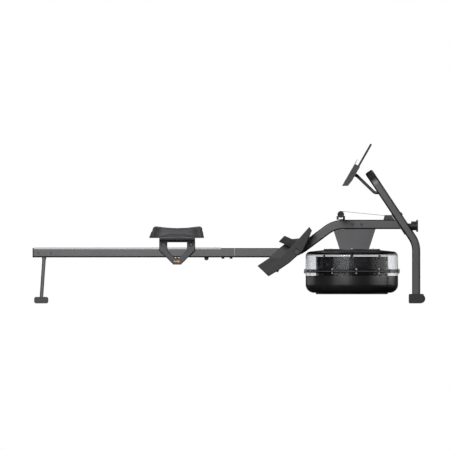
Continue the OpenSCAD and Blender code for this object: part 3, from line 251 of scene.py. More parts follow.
# %% [markdown]
# ### Metals
# The frame is steel tube under a satin powder coat: paint that was melted on, so it has a very soft
# orange peel of about 2 mm. The running strip is drawn and anodised aluminium, with fine lines along
# The handle's bar and the inner parts are zinc plated, the tank's screws are nickel plated,
# and the frame's bolts are blackened. The carriage's pressed edges take it too, as painted shade.
#
# A tube's rounded corners are painted near black, as painted shade for the dark lines along the tubes.
# The corners are found by the surface's own direction: they are where it turns away from the machine's
# sides (Y) but isn't square to them yet. The dark lines along the tubes could also be left to the
# light, but on corners of a few millimetres it gave too little.

# %% Powder-coated steel
# Satin: a soft, wide sheen.
powder_coat, tree, shader = new_finish("satin_powder_coat", "#555557", 0.42, **{"Metallic": 0.2})
lay_grain(tree, shader, 2.2, 0.02, "#505052", "#5B5B5D", broad_mm=140)

# %% Painted shade at the corners
# How far the surface faces sideways: 0 on a tube's top, 1 on its side, and between them at its corners.
SQUARE_ON, SIDE_ON = 0.04, 0.99
CORNER_FROM, CORNER_TO = 0.14, 0.9
turn = add_node(tree, "ShaderNodeSeparateXYZ", links={
    "Vector": add_node(tree, "ShaderNodeTexCoord").outputs["Normal"]})
faces_side = add_node(tree, "ShaderNodeMath", {"operation": "ABSOLUTE"}, {0: turn.outputs["Y"]})
corner_shade_mask = add_node(tree, "ShaderNodeValToRGB", links={"Fac": faces_side.outputs[0]})
stops = corner_shade_mask.color_ramp.elements
for stop, position in zip(stops, (SQUARE_ON, SIDE_ON)):
    stop.position, stop.color = position, (0, 0, 0, 1)
for position in (CORNER_FROM, CORNER_TO):
    stops.new(position).color = (1, 1, 1, 1)
# Painted shade: the corners' colour is mixed towards near black.
corner_painted_shade = add_node(tree, "ShaderNodeMix", {"data_type": "RGBA", 7: linear("#161617")}, {
    0: corner_shade_mask.outputs["Color"], 6: shader.inputs["Base Color"].links[0].from_socket})
tree.links.new(corner_painted_shade.outputs[2], shader.inputs["Base Color"])

# %% Anodised aluminium
# Half metallic under its oxide skin: pale, with a blurred sheen.
anodised, tree, shader = new_finish("anodised_aluminium", "#A1A2A5", 0.42, **{"Metallic": 0.6})
# The drawing lines are 0.5 mm apart and 80 mm long, so the grain is stretched along X.
lay_grain(tree, shader, 0.5, 0.01, "#97989B", "#ACADB0", stretch=(0.006, 1, 1))

# %% Zinc-plated steel
# Bright metal with a slightly blurred mirror.
zinc_plate, tree, shader = new_finish("zinc_plated_steel", "#C9C9C6", 0.3, **{"Metallic": 0.75})
lay_grain(tree, shader, 3.0, 0.01, "#BDBDBB", "#D6D6D2")

# %% Nickel-plated screws
# Nickel gives a bright, faintly warm glint. The screws are only a pixel or two wide here, so they are
# painted paler and less metallic than real nickel, a painted glint that shows them as bright dots.
nickel_plate, tree, shader = new_finish("nickel_plated_screws", "#EDEDEA", 0.35, **{"Metallic": 0.3})
lay_grain(tree, shader, 3.0, 0.01, "#E6E6E3", "#F4F4F1")

# %% Blackened steel
# An oxide skin: dark, with a hard, low sheen.
black_steel, tree, shader = new_finish("blackened_steel", "#3A3A3D", 0.38, **{"Metallic": 0.3})
lay_grain(tree, shader, 1.2, 0.01, "#343437", "#414145")

# %% [markdown]
# ### Plastics
# Caps, footboards and the console are moulded, and the mould's spark-eroded skin leaves a fine matte
# grain. The tank is polished: its upper shell is clear polycarbonate, its lower shell nearly black.
#
# Clear plastic could be left to real refraction alone, but then the lamps light the drum behind it only
# by chance hits, and the picture is grainy. So lamps shine straight through it. Its index is 1.25,
# where the real plastic has about 1.58, because a weaker mirror leaves fewer bright grains.

# %% Moulded plastics
# A matte skin with a fine sparkle of grain.
black_plastic, tree, shader = new_finish("moulded_black_plastic", "#1A1A1C", 0.5)
lay_grain(tree, shader, 0.9, 0.03, "#171719", "#1F1F21")

# The same skin in dark grey, which shows its grain a little more.
grey_plastic, tree, shader = new_finish("moulded_grey_plastic", "#343436", 0.48)
lay_grain(tree, shader, 0.9, 0.03, "#2F2F31", "#39393B")

# %% Polished polycarbonate
SHELL_INDEX = 1.25
SHADE_FROM, SHADE_TO = 0.252, 0.272


def let_lamps_through(tree, shader, tint):
    """Clear plastic casts only a tinted shadow: the lamps' direct light passes straight through it."""
    surface = tree.nodes["Material Output"].inputs["Surface"]
    passing = add_node(tree, "ShaderNodeBsdfTransparent", {"Color": linear(tint)})
    mixed = add_node(tree, "ShaderNodeMixShader", links={
        0: add_node(tree, "ShaderNodeLightPath").outputs["Is Shadow Ray"],
        1: shader.outputs["BSDF"], 2: passing.outputs["BSDF"]})
    tree.links.new(mixed.outputs["Shader"], surface)


# Water clear, with sharp highlights.
clear_shell, tree, shader = new_finish("clear_polycarbonate", "#F0F1F3", 0.04, **{
    "Transmission Weight": 1.0, "IOR": SHELL_INDEX})
lay_grain(tree, shader, 40.0, 0.05, "#EDEEF0", "#F4F5F7", gloss=0.01, detail=0.0)
let_lamps_through(tree, shader, "#D8D8DA")
# Painted shade: over the shoulder the colour is mixed towards dark grey.
height = add_node(tree, "ShaderNodeSeparateXYZ", links={
    "Vector": add_node(tree, "ShaderNodeTexCoord").outputs["Object"]})
shoulder = add_node(tree, "ShaderNodeMapRange", {"From Min": SHADE_FROM, "From Max": SHADE_TO}, {
    "Value": height.outputs["Z"]})
shoulder_painted_shade = add_node(tree, "ShaderNodeMix", {"data_type": "RGBA", 7: linear("#66676A")}, {
    0: shoulder.outputs["Result"], 6: shader.inputs["Base Color"].links[0].from_socket})
tree.links.new(shoulder_painted_shade.outputs[2], shader.inputs["Base Color"])

# %% Dark polycarbonate
# Nearly black, with long soft highlights.
dark_shell, tree, shader = new_finish("dark_polycarbonate", "#1F1F21", 0.26, **{"IOR": 1.6})
lay_grain(tree, shader, 35.0, 0.05, "#1B1B1D", "#232325", gloss=0.02, detail=0.0)

# The tank's top is dark and opaque: painted shade over the shoulder. It has a matt mould skin, so
# that it doesn't mirror the lamp above it.
shaded_top_shell, tree, shader = new_finish("top_shade_polycarbonate", "#161618", 0.45, **{
    "Specular IOR Level": 0.25})
lay_grain(tree, shader, 35.0, 0.05, "#131315", "#1A1A1C", gloss=0.02, detail=0.0)

# Two flanges lie on each other, and light is lost between them: clear plastic that reads as smoke.
smoked_shell, tree, shader = new_finish("smoked_polycarbonate", "#8E8F92", 0.06, **{
    "Transmission Weight": 1.0, "IOR": SHELL_INDEX})
lay_grain(tree, shader, 35.0, 0.05, "#88898C", "#949598", gloss=0.01, detail=0.0)
let_lamps_through(tree, shader, "#88898C")

# %% Screen glass
# Etched against glare, so lamps show as a wide pale haze.
glass, tree, shader = new_finish("screen_glass", "#0E1011", 0.28, **{"IOR": 1.5})
lay_grain(tree, shader, 25.0, 0.0, "#0C0E0F", "#131516", gloss=0.01, detail=0.0)

# %% [markdown]
# ### Rubber, foam and cover
# The grips are closed-cell foam with pores of under a millimetre, and the wheels and the gasket are
# plain rubber. The seat's cover is imitation leather, pressed with a pebbled grain of about 1.5 mm. The
# pebbles could be modelled, but they are smaller than a pixel here, and a bump made of cells breaks up
# the sheen in the same way.

# %% Rubber and foam
# Foam is dull: its pores spread the light evenly.
grip_foam, tree, shader = new_finish("grip_foam", "#2A2A2C", 0.72)
lay_grain(tree, shader, 0.7, 0.08, "#242426", "#333336", detail=6.0)

# Rubber is closed and smoother, with a faint sheen.
rubber, tree, shader = new_finish("wheel_rubber", "#232324", 0.62)
lay_grain(tree, shader, 1.5, 0.04, "#1F1F20", "#2A2A2B")

# Silicone is pale and slightly waxy.
gasket_rubber, tree, shader = new_finish("grey_silicone_gasket", "#77777A", 0.5)
lay_grain(tree, shader, 1.5, 0.02, "#707073", "#7F7F82")

# %% Seat cover
PEBBLE = 1.6*MM
# A soft sheen broken up by the pebbles.
seat_cover, tree, shader = new_finish("imitation_leather", "#3E3E41", 0.5, **{
    "Specular IOR Level": 0.4})
pebbled = lay_grain(tree, shader, 9.0, 0.0, "#39393C", "#444447", gloss=0.04)
pebbles = add_node(tree, "ShaderNodeTexVoronoi", {"Scale": 1/PEBBLE, "feature": "SMOOTH_F1"},
                   {"Vector": pebbled})
bump = add_node(tree, "ShaderNodeBump", {"Strength": 0.6, "Distance": 0.12*MM},
                {"Height": pebbles.outputs["Distance"]})
bump.invert = True
tree.links.new(bump.outputs["Normal"], shader.inputs["Normal"])

# %% [markdown]
# ### Webbing and print
# A strap is woven from thick polyester yarn. Seen close, it is a twill: short slanted floats in rows
# across the strap. It could be an image of cloth, but two waves multiplied together need no file and
# stay sharp close up. They lie in the strap's own UV map, which is laid out in metres, so the rows
# follow the strap wherever it bends.

# %% Woven webbing
# The yarns of a real strap lie about 0.7 mm apart. A Wave texture of scale 1 repeats after 2 pi / 20
# along an axis, and after 2 pi / 10 on the diagonal.
ROW_GAP, FLOAT_GAP, FLOAT_SLANT = 0.733*MM, 0.88*MM, 0.45
per_row, per_float = 2*pi/20/ROW_GAP, 2*pi/10/FLOAT_GAP
# Dull yarn with a faint halo of loose fibres.
webbing, tree, shader = new_finish("woven_webbing", "#232325", 0.68, **{"Sheen Weight": 0.3})
lie = add_node(tree, "ShaderNodeUVMap").outputs["UV"]
floats = add_node(tree, "ShaderNodeMapping", {"Scale": (per_float, FLOAT_SLANT*per_float, 1)},
                  {"Vector": lie})
rows = add_node(tree, "ShaderNodeMapping", {"Scale": (1, per_row, 1)}, {"Vector": lie})
wave_across = add_node(tree, "ShaderNodeTexWave", {
    "Scale": 1.0, "wave_type": "BANDS", "bands_direction": "DIAGONAL", "Distortion": 0.4},
    {"Vector": floats.outputs["Vector"]})
wave_along = add_node(tree, "ShaderNodeTexWave", {
    "Scale": 1.0, "wave_type": "BANDS", "bands_direction": "Y"},
    {"Vector": rows.outputs["Vector"]})
weave = add_node(tree, "ShaderNodeMath", {"operation": "MULTIPLY"},
                 {0: wave_across.outputs["Fac"], 1: wave_along.outputs["Fac"]})
ramp = add_node(tree, "ShaderNodeValToRGB", links={"Fac": weave.outputs[0]})
for stop, tone in zip(ramp.color_ramp.elements, ("#19191B", "#303033")):
    stop.color = linear(tone)
tree.links.new(ramp.outputs["Color"], shader.inputs["Base Color"])
bump = add_node(tree, "ShaderNodeBump", {"Strength": 0.7, "Distance": 0.25*MM},
                {"Height": weave.outputs[0]})
tree.links.new(bump.outputs["Normal"], shader.inputs["Normal"])

# %% Orange print
# Printed vinyl film: a clean bright colour with a low sheen.
orange_print, tree, shader = new_finish("orange_vinyl", "#F2A246", 0.4)
lay_grain(tree, shader, 1.5, 0.01, "#EE9C3E", "#F6A94F")

# %% [markdown]
# ## Painting the hard pieces
# The record says which finish each node has. Each node's mesh takes the matching material, and its
# faces are shaded smooth up to an angle, so that tubes read as round and edges stay crisp. A bevel on
# every edge would catch more light, but it would change the solids.

# %% Finishes on the nodes
CREASE = 30
FINISHES = {
    "frame_paint": powder_coat, "running_aluminium": anodised, "bright_zinc": zinc_plate,
    "black_steel": black_steel, "black_plastic": black_plastic, "grey_plastic": grey_plastic,
    "tank_clear": clear_shell, "tank_dark": dark_shell, "screen_glass": glass,
    "strap_webbing": webbing, "grip_foam": grip_foam, "wheel_rubber": rubber,
    "gasket_rubber": gasket_rubber, "seat_cover": seat_cover}
# These nodes look different from the others in their slot.
FINISHES_APART = {
    "footrest_axle": black_steel, "wheel_axles": black_steel, "tablet_holder": black_plastic,
    "heel_cup_left": black_plastic, "heel_cup_right": black_plastic,
    "tank_bolts": nickel_plate}
slots = {row["node"]: row["material_slot"] for row in frame["record"]["subparts"]}
for name, piece in NODES.items():
    piece.data.materials.clear()
    piece.data.materials.append(FINISHES_APART.get(name, FINISHES[slots[name]]))
    take(piece)
    bpy.ops.object.shade_smooth_by_angle(angle=radians(CREASE))
print("finished", len(NODES), "nodes in", len(set(slots.values())), "finishes")

# %% [markdown]
# ## The tank's shells
# Both shells are one clear moulding each, but they don't look alike all over: the flanges between them
# are dark, the top is dark as painted shade, and the lower shell is painted black inside from below its
# flange. Each mesh is copied and cut across at those heights, so that every stretch is a closed solid
# with its own finish.
# Painting by height inside one material would be shorter, but a piece that is clear only in part is
# hard to hand on to other programs. Cut like this, each stretch is wholly clear or wholly dark.

# %% Stretches of the shells
# Heights above the floor, in metres.
FLANGE_LOW, FLANGE_HIGH = 0.1625, 0.1815
PAINT_EDGE, TOP_EDGE = 0.1475, 0.271
TANK_LOW, TANK_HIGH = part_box("tank_lower")[0].z - MM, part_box("tank_upper")[1].z + MM


def stretch_of(node, name, low, high, finish):
    """A copy of a node's mesh between two heights."""
    part = copy_of(node, name)
    edit(part)
    for height, below in ((low, True), (high, False)):
        bpy.ops.mesh.select_all(action="SELECT")
        bpy.ops.mesh.bisect(plane_co=(0, 0, height), plane_no=(0, 0, 1), use_fill=True,
                            clear_inner=below, clear_outer=not below)
    close_edit()
    return seat_piece(part, name, "frame", finish, smooth=CREASE)


bowl = stretch_of("tank_lower", "tank_bowl", TANK_LOW, PAINT_EDGE, dark_shell)
stretch_of("tank_lower", "tank_rim", PAINT_EDGE, FLANGE_LOW, clear_shell)
stretch_of("tank_lower", "tank_lower_flange", FLANGE_LOW, TANK_HIGH, smoked_shell)
stretch_of("tank_upper", "tank_upper_flange", TANK_LOW, FLANGE_HIGH, smoked_shell)
dome = stretch_of("tank_upper", "tank_dome", FLANGE_HIGH, TOP_EDGE, clear_shell)
stretch_of("tank_upper", "tank_top", TOP_EDGE, TANK_HIGH, shaded_top_shell)
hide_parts("tank_lower")
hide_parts("tank_upper")

# %% [markdown]
# ## Pressed and moulded edges
# The carriage's side plates are pressed steel and the footboards are mouldings, and both have a soft
# chamfer around their flat sides. A copy of the node gets it in two moves: the flat side is pushed in
# by the chamfer's depth, and an inset then draws it in from its outline and lifts it back to where it
# was. That leaves a sloping band all round it and around each opening, and the piece keeps its size. A
# bevel would be quicker, but it would also round every bolt hole and rib.

# %% Chamfered sides
CHAMFER_IN, CHAMFER_DEEP = 4.0*MM, 1.5*MM
# A direction's share along Y tells a flat side and a chamfer from the rest.
FLAT, BAND_FROM, BAND_TO = 0.99, 0.85, 0.96
SAME_LEVEL = 0.2*MM


def broad_side(piece, side):
    """The Y of the level that holds most of the faces looking outward to one side."""
    areas = {}
    middle = sum(v.co.y for v in piece.data.vertices)/len(piece.data.vertices)
    for face in piece.data.polygons:
        if face.normal.y*side > FLAT and (face.center.y - middle)*side > 0:
            level = round(face.center.y, 4)
            areas[level] = areas.get(level, 0) + face.area
    return max(areas, key=areas.get)


def chamfered(node, name, body, finish, outline_shade):
    """A node's copy with its broad outer sides chamfered, the chamfer darker as painted shade."""
    piece = copy_of(node, name)
    for side in (-1, 1):
        level = broad_side(piece, side)
        edit(piece)
        if pick(piece, lambda f: f.normal.y*side > FLAT
                and abs(f.calc_center_median().y - level) < SAME_LEVEL):
            bpy.ops.transform.translate(value=(0, -side*CHAMFER_DEEP, 0))
            bpy.ops.mesh.inset(thickness=CHAMFER_IN, depth=CHAMFER_DEEP)
        close_edit()
    seat_piece(piece, name, body, finish, [node], smooth=20)
    # The chamfer band takes the darker finish: painted shade that outlines the sides and openings.
    piece.data.materials.append(outline_shade)
    edit(piece)
    if pick(piece, lambda f: BAND_FROM < abs(f.normal.y) < BAND_TO):
        piece.active_material_index = 1
        bpy.ops.object.material_slot_assign()
    close_edit()
    return piece


# Blackened steel on the carriage's chamfers and black plastic on the footboards': painted shade.
chamfered("carriage", "carriage_plates", "seat", powder_coat, black_steel)
for side in ("left", "right"):
    chamfered("footboard_" + side, "foot_plate_" + side, "frame", grey_plastic,
              black_plastic)

# %% [markdown]
# ## The seat pad
# The pad is moulded foam under a stretched cover, highest at its front and rear edges and hollow
# between them. It could be sculpted by hand, but pressure in a cloth gives the tight, slightly
# swollen look of a real cover: the solid is drawn in a little, remeshed evenly, and blown up against
# its own stitched shape, with every point's move capped.

# %% Foam and cover
PAD_GRID, PAD_DRAW_IN, PAD_BASE = 5*MM, 0.8*MM, 4*MM
pad = copy_of("seat_pad", "seat_cushion")
pad.data.remesh_voxel_size = PAD_GRID
take(pad)
bpy.ops.object.voxel_remesh()
edit(pad, "VERT")
bpy.ops.mesh.select_all(action="SELECT")
bpy.ops.transform.shrink_fatten(value=-PAD_DRAW_IN)
bpy.ops.mesh.vertices_smooth(factor=0.5, repeat=1)
close_edit()
pad_low = min(v.co.z for v in pad.data.vertices)
print("pad remeshed to", len(pad.data.vertices), "points")

# %% Pressure
PRESSURE, PAD_CAP, HELD_BASE, LAST_FRAME = 4, 2.4*MM, 3*MM, 20
held = pad.vertex_groups.new(name="base")
held.add([v.index for v in pad.data.vertices if v.co.z < pad_low + HELD_BASE], 1.0, "REPLACE")
start = [v.co.copy() for v in pad.data.vertices]
cloth = pad.modifiers.new("Cover", "CLOTH")
cloth.settings.use_pressure = True
cloth.settings.uniform_pressure_force = PRESSURE
cloth.settings.vertex_group_mass = "base"
cloth.settings.effector_weights.gravity = 0
scene = bpy.context.scene
for number in range(1, LAST_FRAME + 1):
    scene.frame_set(number)
blown = pad.evaluated_get(bpy.context.evaluated_depsgraph_get()).data
ends = [v.co.copy() for v in blown.vertices]
pad.modifiers.remove(cloth)
pad.vertex_groups.clear()
scene.frame_set(1)
moved = 0.0
for vertex, a, b in zip(pad.data.vertices, start, ends):
    move = b - a
    vertex.co = a + move*min(1.0, PAD_CAP/max(move.length, 1e-9))
    moved = max(moved, min(move.length, PAD_CAP))
print("the cover moved by up to", round(moved/MM, 1), "mm")

# %% The finished pad
# The subdivision rounds the two horns off, so the height is brought back, with 2 mm for the swell. The
# underside is pressed flat, as it lies on the carriage.
PAD_SWELL = 2*MM
modify(pad, "SUBSURF", levels=1, render_levels=1)
cad_low, cad_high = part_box("seat_pad")
grow = (cad_high.z + PAD_SWELL - cad_low.z)/(max(v.co.z for v in pad.data.vertices) - cad_low.z)
for vertex in pad.data.vertices:
    above = vertex.co.z - cad_low.z
    vertex.co.z = cad_low.z if above < PAD_BASE else cad_low.z + above*grow
seat_piece(pad, "seat_cushion", "seat", seat_cover, ["seat_pad"], smooth=60)

# %% [markdown]
# A welt runs around the pad where the cover is drawn over the edge of its base. It could be a line laid
# by hand, but then it would float off the swollen cover here and there. So a copy of the pad is cut by
# a plane, only the cut's outline is kept, and that line gets a round section.

# %% Welt
WELT_UP, WELT_R, WELT_STEP = 7*MM, 1.3*MM, 0.5*MM
line = pad.copy()
line.data = pad.data.copy()
# The copy is no cushion and stands for nothing, so the pad's notes come off it.
for key in list(line.keys()):
    del line[key]
line.parent = None
bpy.context.scene.collection.objects.link(line)
edit(line)
bpy.ops.mesh.select_all(action="SELECT")
bpy.ops.mesh.bisect(plane_co=(0, 0, cad_low.z + WELT_UP), plane_no=(0, 0, 1),
                    clear_inner=True, clear_outer=True)
bpy.ops.mesh.select_all(action="SELECT")
bpy.ops.mesh.remove_doubles(threshold=WELT_STEP)
close_edit()
bpy.ops.object.convert(target="CURVE")
line.data.bevel_depth, line.data.bevel_resolution = WELT_R, 3
bpy.ops.object.convert(target="MESH")
seat_piece(line, "seat_welt_low", "seat", seat_cover, smooth=60)

# %% [markdown]
# ## Straps
# The foot straps are wide webbing, arched over the foot, with an end that folds back on itself and is
# held by hook-and-loop tape. They could be cloth that falls on a foot, but no foot is here to hold them
# up. So the model's plain arch is copied, its edges are rounded, and the folded end is lifted off its
# outer faces.

# %% The board's own directions
axle_low, axle_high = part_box("footrest_axle")
BOARD_AT = (axle_low + axle_high)/2
BOARD_SLOPE = radians(46)
ALONG = Vector((cos(BOARD_SLOPE), 0, sin(BOARD_SLOPE)))
OUT = Vector((-sin(BOARD_SLOPE), 0, cos(BOARD_SLOPE)))


def on_board(point):
    """A point as (along the board, sideways, out of the board)."""
    step = point - BOARD_AT
    return Vector((step.dot(ALONG), step.y, step.dot(OUT)))


# %% Laying a weave along a strap
def lay_uv(piece, place):
    """A UV map in metres, from place(point) = (across, along)."""
    layer = piece.data.uv_layers.new(name="UVMap")
    for loop in piece.data.loops:
        layer.data[loop.index].uv = place(piece.data.vertices[loop.vertex_index].co)


# The arch's middle, its height above the board's axle, its mean radius and its lean to the heel.
ARCH_Y, ARCH_UP, ARCH_R, ARCH_LEAN = 0.104, 0.03, 0.062, 0.36


def from_arch(p):
    """The arch's side, and where a point on the board lies from its middle."""
    side = 1 if p.y > 0 else -1
    return side, Vector((0, p.y - side*ARCH_Y, p.z - ARCH_UP))


def foot_strap_place(point):
    p = on_board(point)
    away = from_arch(p)[1]
    return (p.x + ARCH_LEAN*away.z, atan2(max(away.z, 0), away.y)*ARCH_R)


# %% Foot straps
EDGE_ANGLE, STRAP_CREASE = radians(50), 50


def soften(piece, width):
    """Rounds a strap's sharp edges."""
    modify(piece, "BEVEL", width=width, segments=2, limit_method="ANGLE", angle_limit=EDGE_ANGLE)


straps = copy_of("foot_straps", "foot_strap_webbing")
edit(straps)
bpy.ops.mesh.select_all(action="SELECT")
bpy.ops.mesh.tris_convert_to_quads(face_threshold=radians(60), shape_threshold=radians(60))
close_edit()
lay_uv(straps, foot_strap_place)
soften(straps, 0.8*MM)

# %% Folded ends
FOLD_FROM, FOLD_TO, FOLD_T = 25, 105, 1.6*MM
# An outer face looks away from the arch's middle, and is broader than the faces of a rounded edge.
OUTWARD, BROAD = 0.5, 40*MM**2


def strap_outside(face):
    """True for the outer faces over the far half of each arch."""
    side, away = from_arch(on_board(face.calc_center_median()))
    angle = degrees(atan2(away.z, side*away.y))
    facing = Vector((0, face.normal.y, face.normal.dot(OUT))).dot(away.normalized())
    return FOLD_FROM < angle < FOLD_TO and facing > OUTWARD and face.calc_area() > BROAD


edit(straps)
found = pick(straps, strap_outside)
bpy.ops.mesh.duplicate()
bpy.ops.mesh.separate(type="SELECTED")
close_edit()
fold = [o for o in bpy.context.selected_objects if o is not straps][0]
modify(fold, "SOLIDIFY", thickness=FOLD_T, offset=1.0)
soften(fold, 0.5*MM)
print("folded ends from", found, "faces")
seat_piece(straps, "foot_strap_webbing", "frame", webbing, ["foot_straps"],
           smooth=STRAP_CREASE)
seat_piece(fold, "foot_strap_ends", "frame", webbing, smooth=STRAP_CREASE)

# %% [markdown]
# ## The drive strap
# The pull strap lies on the front pulley, runs to the handle and wraps around the handle's hub. Where
# it runs free it has to stretch as the handle is pulled. The CAD's strap has no points along its run
# that could follow the frame and the handle, so it is made anew as a ribbon: a flat curve drawn out to
# the strap's width, then thickened to the CAD's size. Here its points are not tied to either.

# %% A ribbon along a path
def ribbon(points, width, thickness):
    """A flat strap along points in the machine's middle plane."""
    bpy.ops.object.select_all(action="DESELECT")
    bpy.ops.curve.primitive_nurbs_path_add()
    strap = bpy.context.object
    curve = strap.data
    curve.splines.clear()
    spline = curve.splines.new("POLY")
    spline.points.add(len(points) - 1)
    for place, (x, z) in zip(spline.points, points):
        place.co = (x, z, 0, 1)
    curve.dimensions = "2D"
    curve.extrude = width/2
    strap.rotation_euler = (pi/2, 0, 0)
    bpy.ops.object.convert(target="MESH")
    strap = bpy.context.object
    bpy.ops.object.transform_apply(location=True, rotation=True, scale=True)
    edit(strap, "VERT")
    bpy.ops.mesh.select_all(action="SELECT")
    bpy.ops.mesh.remove_doubles(threshold=WELD)
    close_edit()
    lengths = [0.0]
    for a, b in zip(points, points[1:]):
        lengths.append(lengths[-1] + sqrt((b[0] - a[0])**2 + (b[1] - a[1])**2))

    def place(point):
        nearest = min(range(len(points)), key=lambda i: (points[i][0] - point.x)**2
                      + (points[i][1] - point.z)**2)
        return (point.y, lengths[nearest])

    lay_uv(strap, place)
    modify(strap, "SOLIDIFY", thickness=thickness, offset=0.0, use_even_offset=True)
    soften(strap, 0.3*MM)
    return strap


# %% From the pulley to the handle
HUB_R, STRAP_GAP, STRAP_T = 15.7*MM, 0.3*MM, 2*MM
RUN_STEPS, WRAP_STEPS, WRAP = 24, 40, radians(260)
pulley_low, pulley_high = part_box("front_pulley")
bar_low, bar_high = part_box("handle_bar")
PULLEY_AT, HANDLE_AT = (pulley_low + pulley_high)/2, (bar_low + bar_high)/2
strap_low, strap_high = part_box("drive_strap")
STRAP_W = strap_high.y - strap_low.y
run_pulley = (pulley_high.z - pulley_low.z)/2 + STRAP_GAP + STRAP_T/2
run_hub = HUB_R + STRAP_GAP + STRAP_T/2
ahead, up = PULLEY_AT.x - HANDLE_AT.x, HANDLE_AT.z - PULLEY_AT.z
slope = atan2(up, ahead) + (run_hub - run_pulley)/sqrt(ahead**2 + up**2)
top = Vector((sin(slope), 0, cos(slope)))
pulley_top, hub_top = PULLEY_AT + run_pulley*top, HANDLE_AT + run_hub*top
path = [tuple(pulley_top.lerp(hub_top, i/RUN_STEPS).xz) for i in range(RUN_STEPS)]
turns = [pi/2 - slope + i*WRAP/WRAP_STEPS for i in range(WRAP_STEPS + 1)]
path += [tuple((HANDLE_AT + run_hub*Vector((cos(a), 0, sin(a)))).xz) for a in turns]
strap = ribbon(path, STRAP_W, STRAP_T)
seat_piece(strap, "pull_strap", None, webbing, ["drive_strap"], smooth=STRAP_CREASE)
tuple(pulley_top)
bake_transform(strap)
print("free run", round((pulley_top - hub_top).length, 3), "m")

# %% [markdown]
# ## Handle grips
# A foam grip is a tube with rounded ends and shallow rings that stop the hand from slipping. It could
# be a cylinder with its rings scaled in one by one, but a section shows the whole shape at once: a
# circle's points are set out along the bar as the grip's section, and the section is spun.

# %% Turned pieces
SIDES, SEAM = 64, 0.01*MM


def turned(section, centre, axis):
    """Spins a closed section, of points (distance along the axis, radius), about the axis."""
    across = axis.orthogonal().normalized()
    bpy.ops.object.select_all(action="DESELECT")
    widest = max(radius for along, radius in section)
    bpy.ops.mesh.primitive_circle_add(vertices=len(section), radius=widest, fill_type="NGON")
    piece = bpy.context.object
    for vertex, (along, radius) in zip(piece.data.vertices, section):
        vertex.co = centre + axis*along + across*radius
    edit(piece, "EDGE")
    bpy.ops.mesh.select_all(action="SELECT")
    bpy.ops.mesh.delete(type="ONLY_FACE")
    bpy.ops.mesh.select_all(action="SELECT")
    bpy.ops.mesh.spin(steps=SIDES, angle=2*pi, center=centre, axis=axis, dupli=False)
    bpy.ops.mesh.select_all(action="SELECT")
    bpy.ops.mesh.remove_doubles(threshold=SEAM)
    close_edit()
    return piece


# %% Grips
grip_low, grip_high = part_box("handle_grips")
GRIP_R = (grip_high.z - grip_low.z)/2
GRIP_IN, GRIP_OUT = 0.052, grip_high.y
BAR_R, BAR_AIR = 13.5*MM, 0.05*MM
IN_ROUND, OUT_ROUND = 3*MM, 5*MM
FIRST_RING, LAST_RING, RING_EVERY, RING_DEEP = 10*MM, 12*MM, 7*MM, 0.7*MM
# A ring's corners along the grip: down at the second, up after the third.
RING = ((0.0, 0.0), (0.6*MM, RING_DEEP), (1.8*MM, RING_DEEP), (2.4*MM, 0.0))
QUARTER = [radians(15*i) for i in range(7)]

section = [(GRIP_IN, BAR_R + BAR_AIR)]
section += [(GRIP_IN + IN_ROUND*(1 - cos(a)), GRIP_R - IN_ROUND*(1 - sin(a))) for a in QUARTER]
ring = GRIP_IN + FIRST_RING
while ring < GRIP_OUT - LAST_RING:
    section += [(ring + along, GRIP_R - deep) for along, deep in RING]
    ring += RING_EVERY
section += [(GRIP_OUT - OUT_ROUND*(1 - sin(a)), GRIP_R - OUT_ROUND*(1 - cos(a))) for a in QUARTER]

# %% The grips' closed ends
# The end has a shallow dimple, and the foam closes over the bar's end. The axis itself is left out, as
# spinning a point on it would make faces with no area.
DIMPLE_R, DIMPLE_DEEP, END_T, NEAR_AXIS = (5*MM, 4*MM), 0.8*MM, 3*MM, 0.01*MM
section += [(GRIP_OUT, DIMPLE_R[0]), (GRIP_OUT - DIMPLE_DEEP, DIMPLE_R[1]),
            (GRIP_OUT - DIMPLE_DEEP, NEAR_AXIS), (GRIP_OUT - END_T, NEAR_AXIS),
            (GRIP_OUT - END_T, BAR_R + BAR_AIR)]
parts = [turned(section, HANDLE_AT, Vector((0, side, 0))) for side in (-1, 1)]
for side, part in zip(("right", "left"), parts):
    seat_piece(part, "foam_grip_" + side, "handle", grip_foam, smooth=40)
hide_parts("handle_grips")

# %% [markdown]
# ## The arrow on the carriage
# The foot of the carriage's side plate carries a small orange arrow of printed vinyl that points
# forward. It could be drawn in the plate's finish, but as a piece of film it keeps a crisp edge and is
# easy to leave out. A circle of seven points becomes its outline, and it is thickened to a film.

# %% Arrow
# The arrow's middle, and its outline from there, in metres.
ARROW_X, ARROW_Z, FILM_T = -0.2765, 0.2240, 0.35*MM
TIP, NECK, HEAD_HALF, SHAFT_HALF = 0.017, 0.004, 0.0068, 0.0030
OUTLINE = ((TIP, 0), (NECK, HEAD_HALF), (NECK, SHAFT_HALF), (-TIP, SHAFT_HALF), (-TIP, -SHAFT_HALF),
           (NECK, -SHAFT_HALF), (NECK, -HEAD_HALF))
bpy.ops.object.select_all(action="DESELECT")
bpy.ops.mesh.primitive_circle_add(vertices=len(OUTLINE), radius=TIP, fill_type="NGON")
arrow = bpy.context.object
side_y = broad_side(NODES["carriage"], -1)
for vertex, (x, z) in zip(arrow.data.vertices, OUTLINE):
    vertex.co = (ARROW_X + x, side_y, ARROW_Z + z)
modify(arrow, "SOLIDIFY", thickness=FILM_T, offset=0.0)
seat_piece(arrow, "forward_arrow", "seat", orange_print, smooth=20)

# %% [markdown]
# ## The stage
# The machine stands on a plain pale floor in front of white. The camera looks level along +Y. A lens
# would be nearer to a real camera, but the photograph shows hardly any perspective, and without it
# lengths in the picture can be compared.

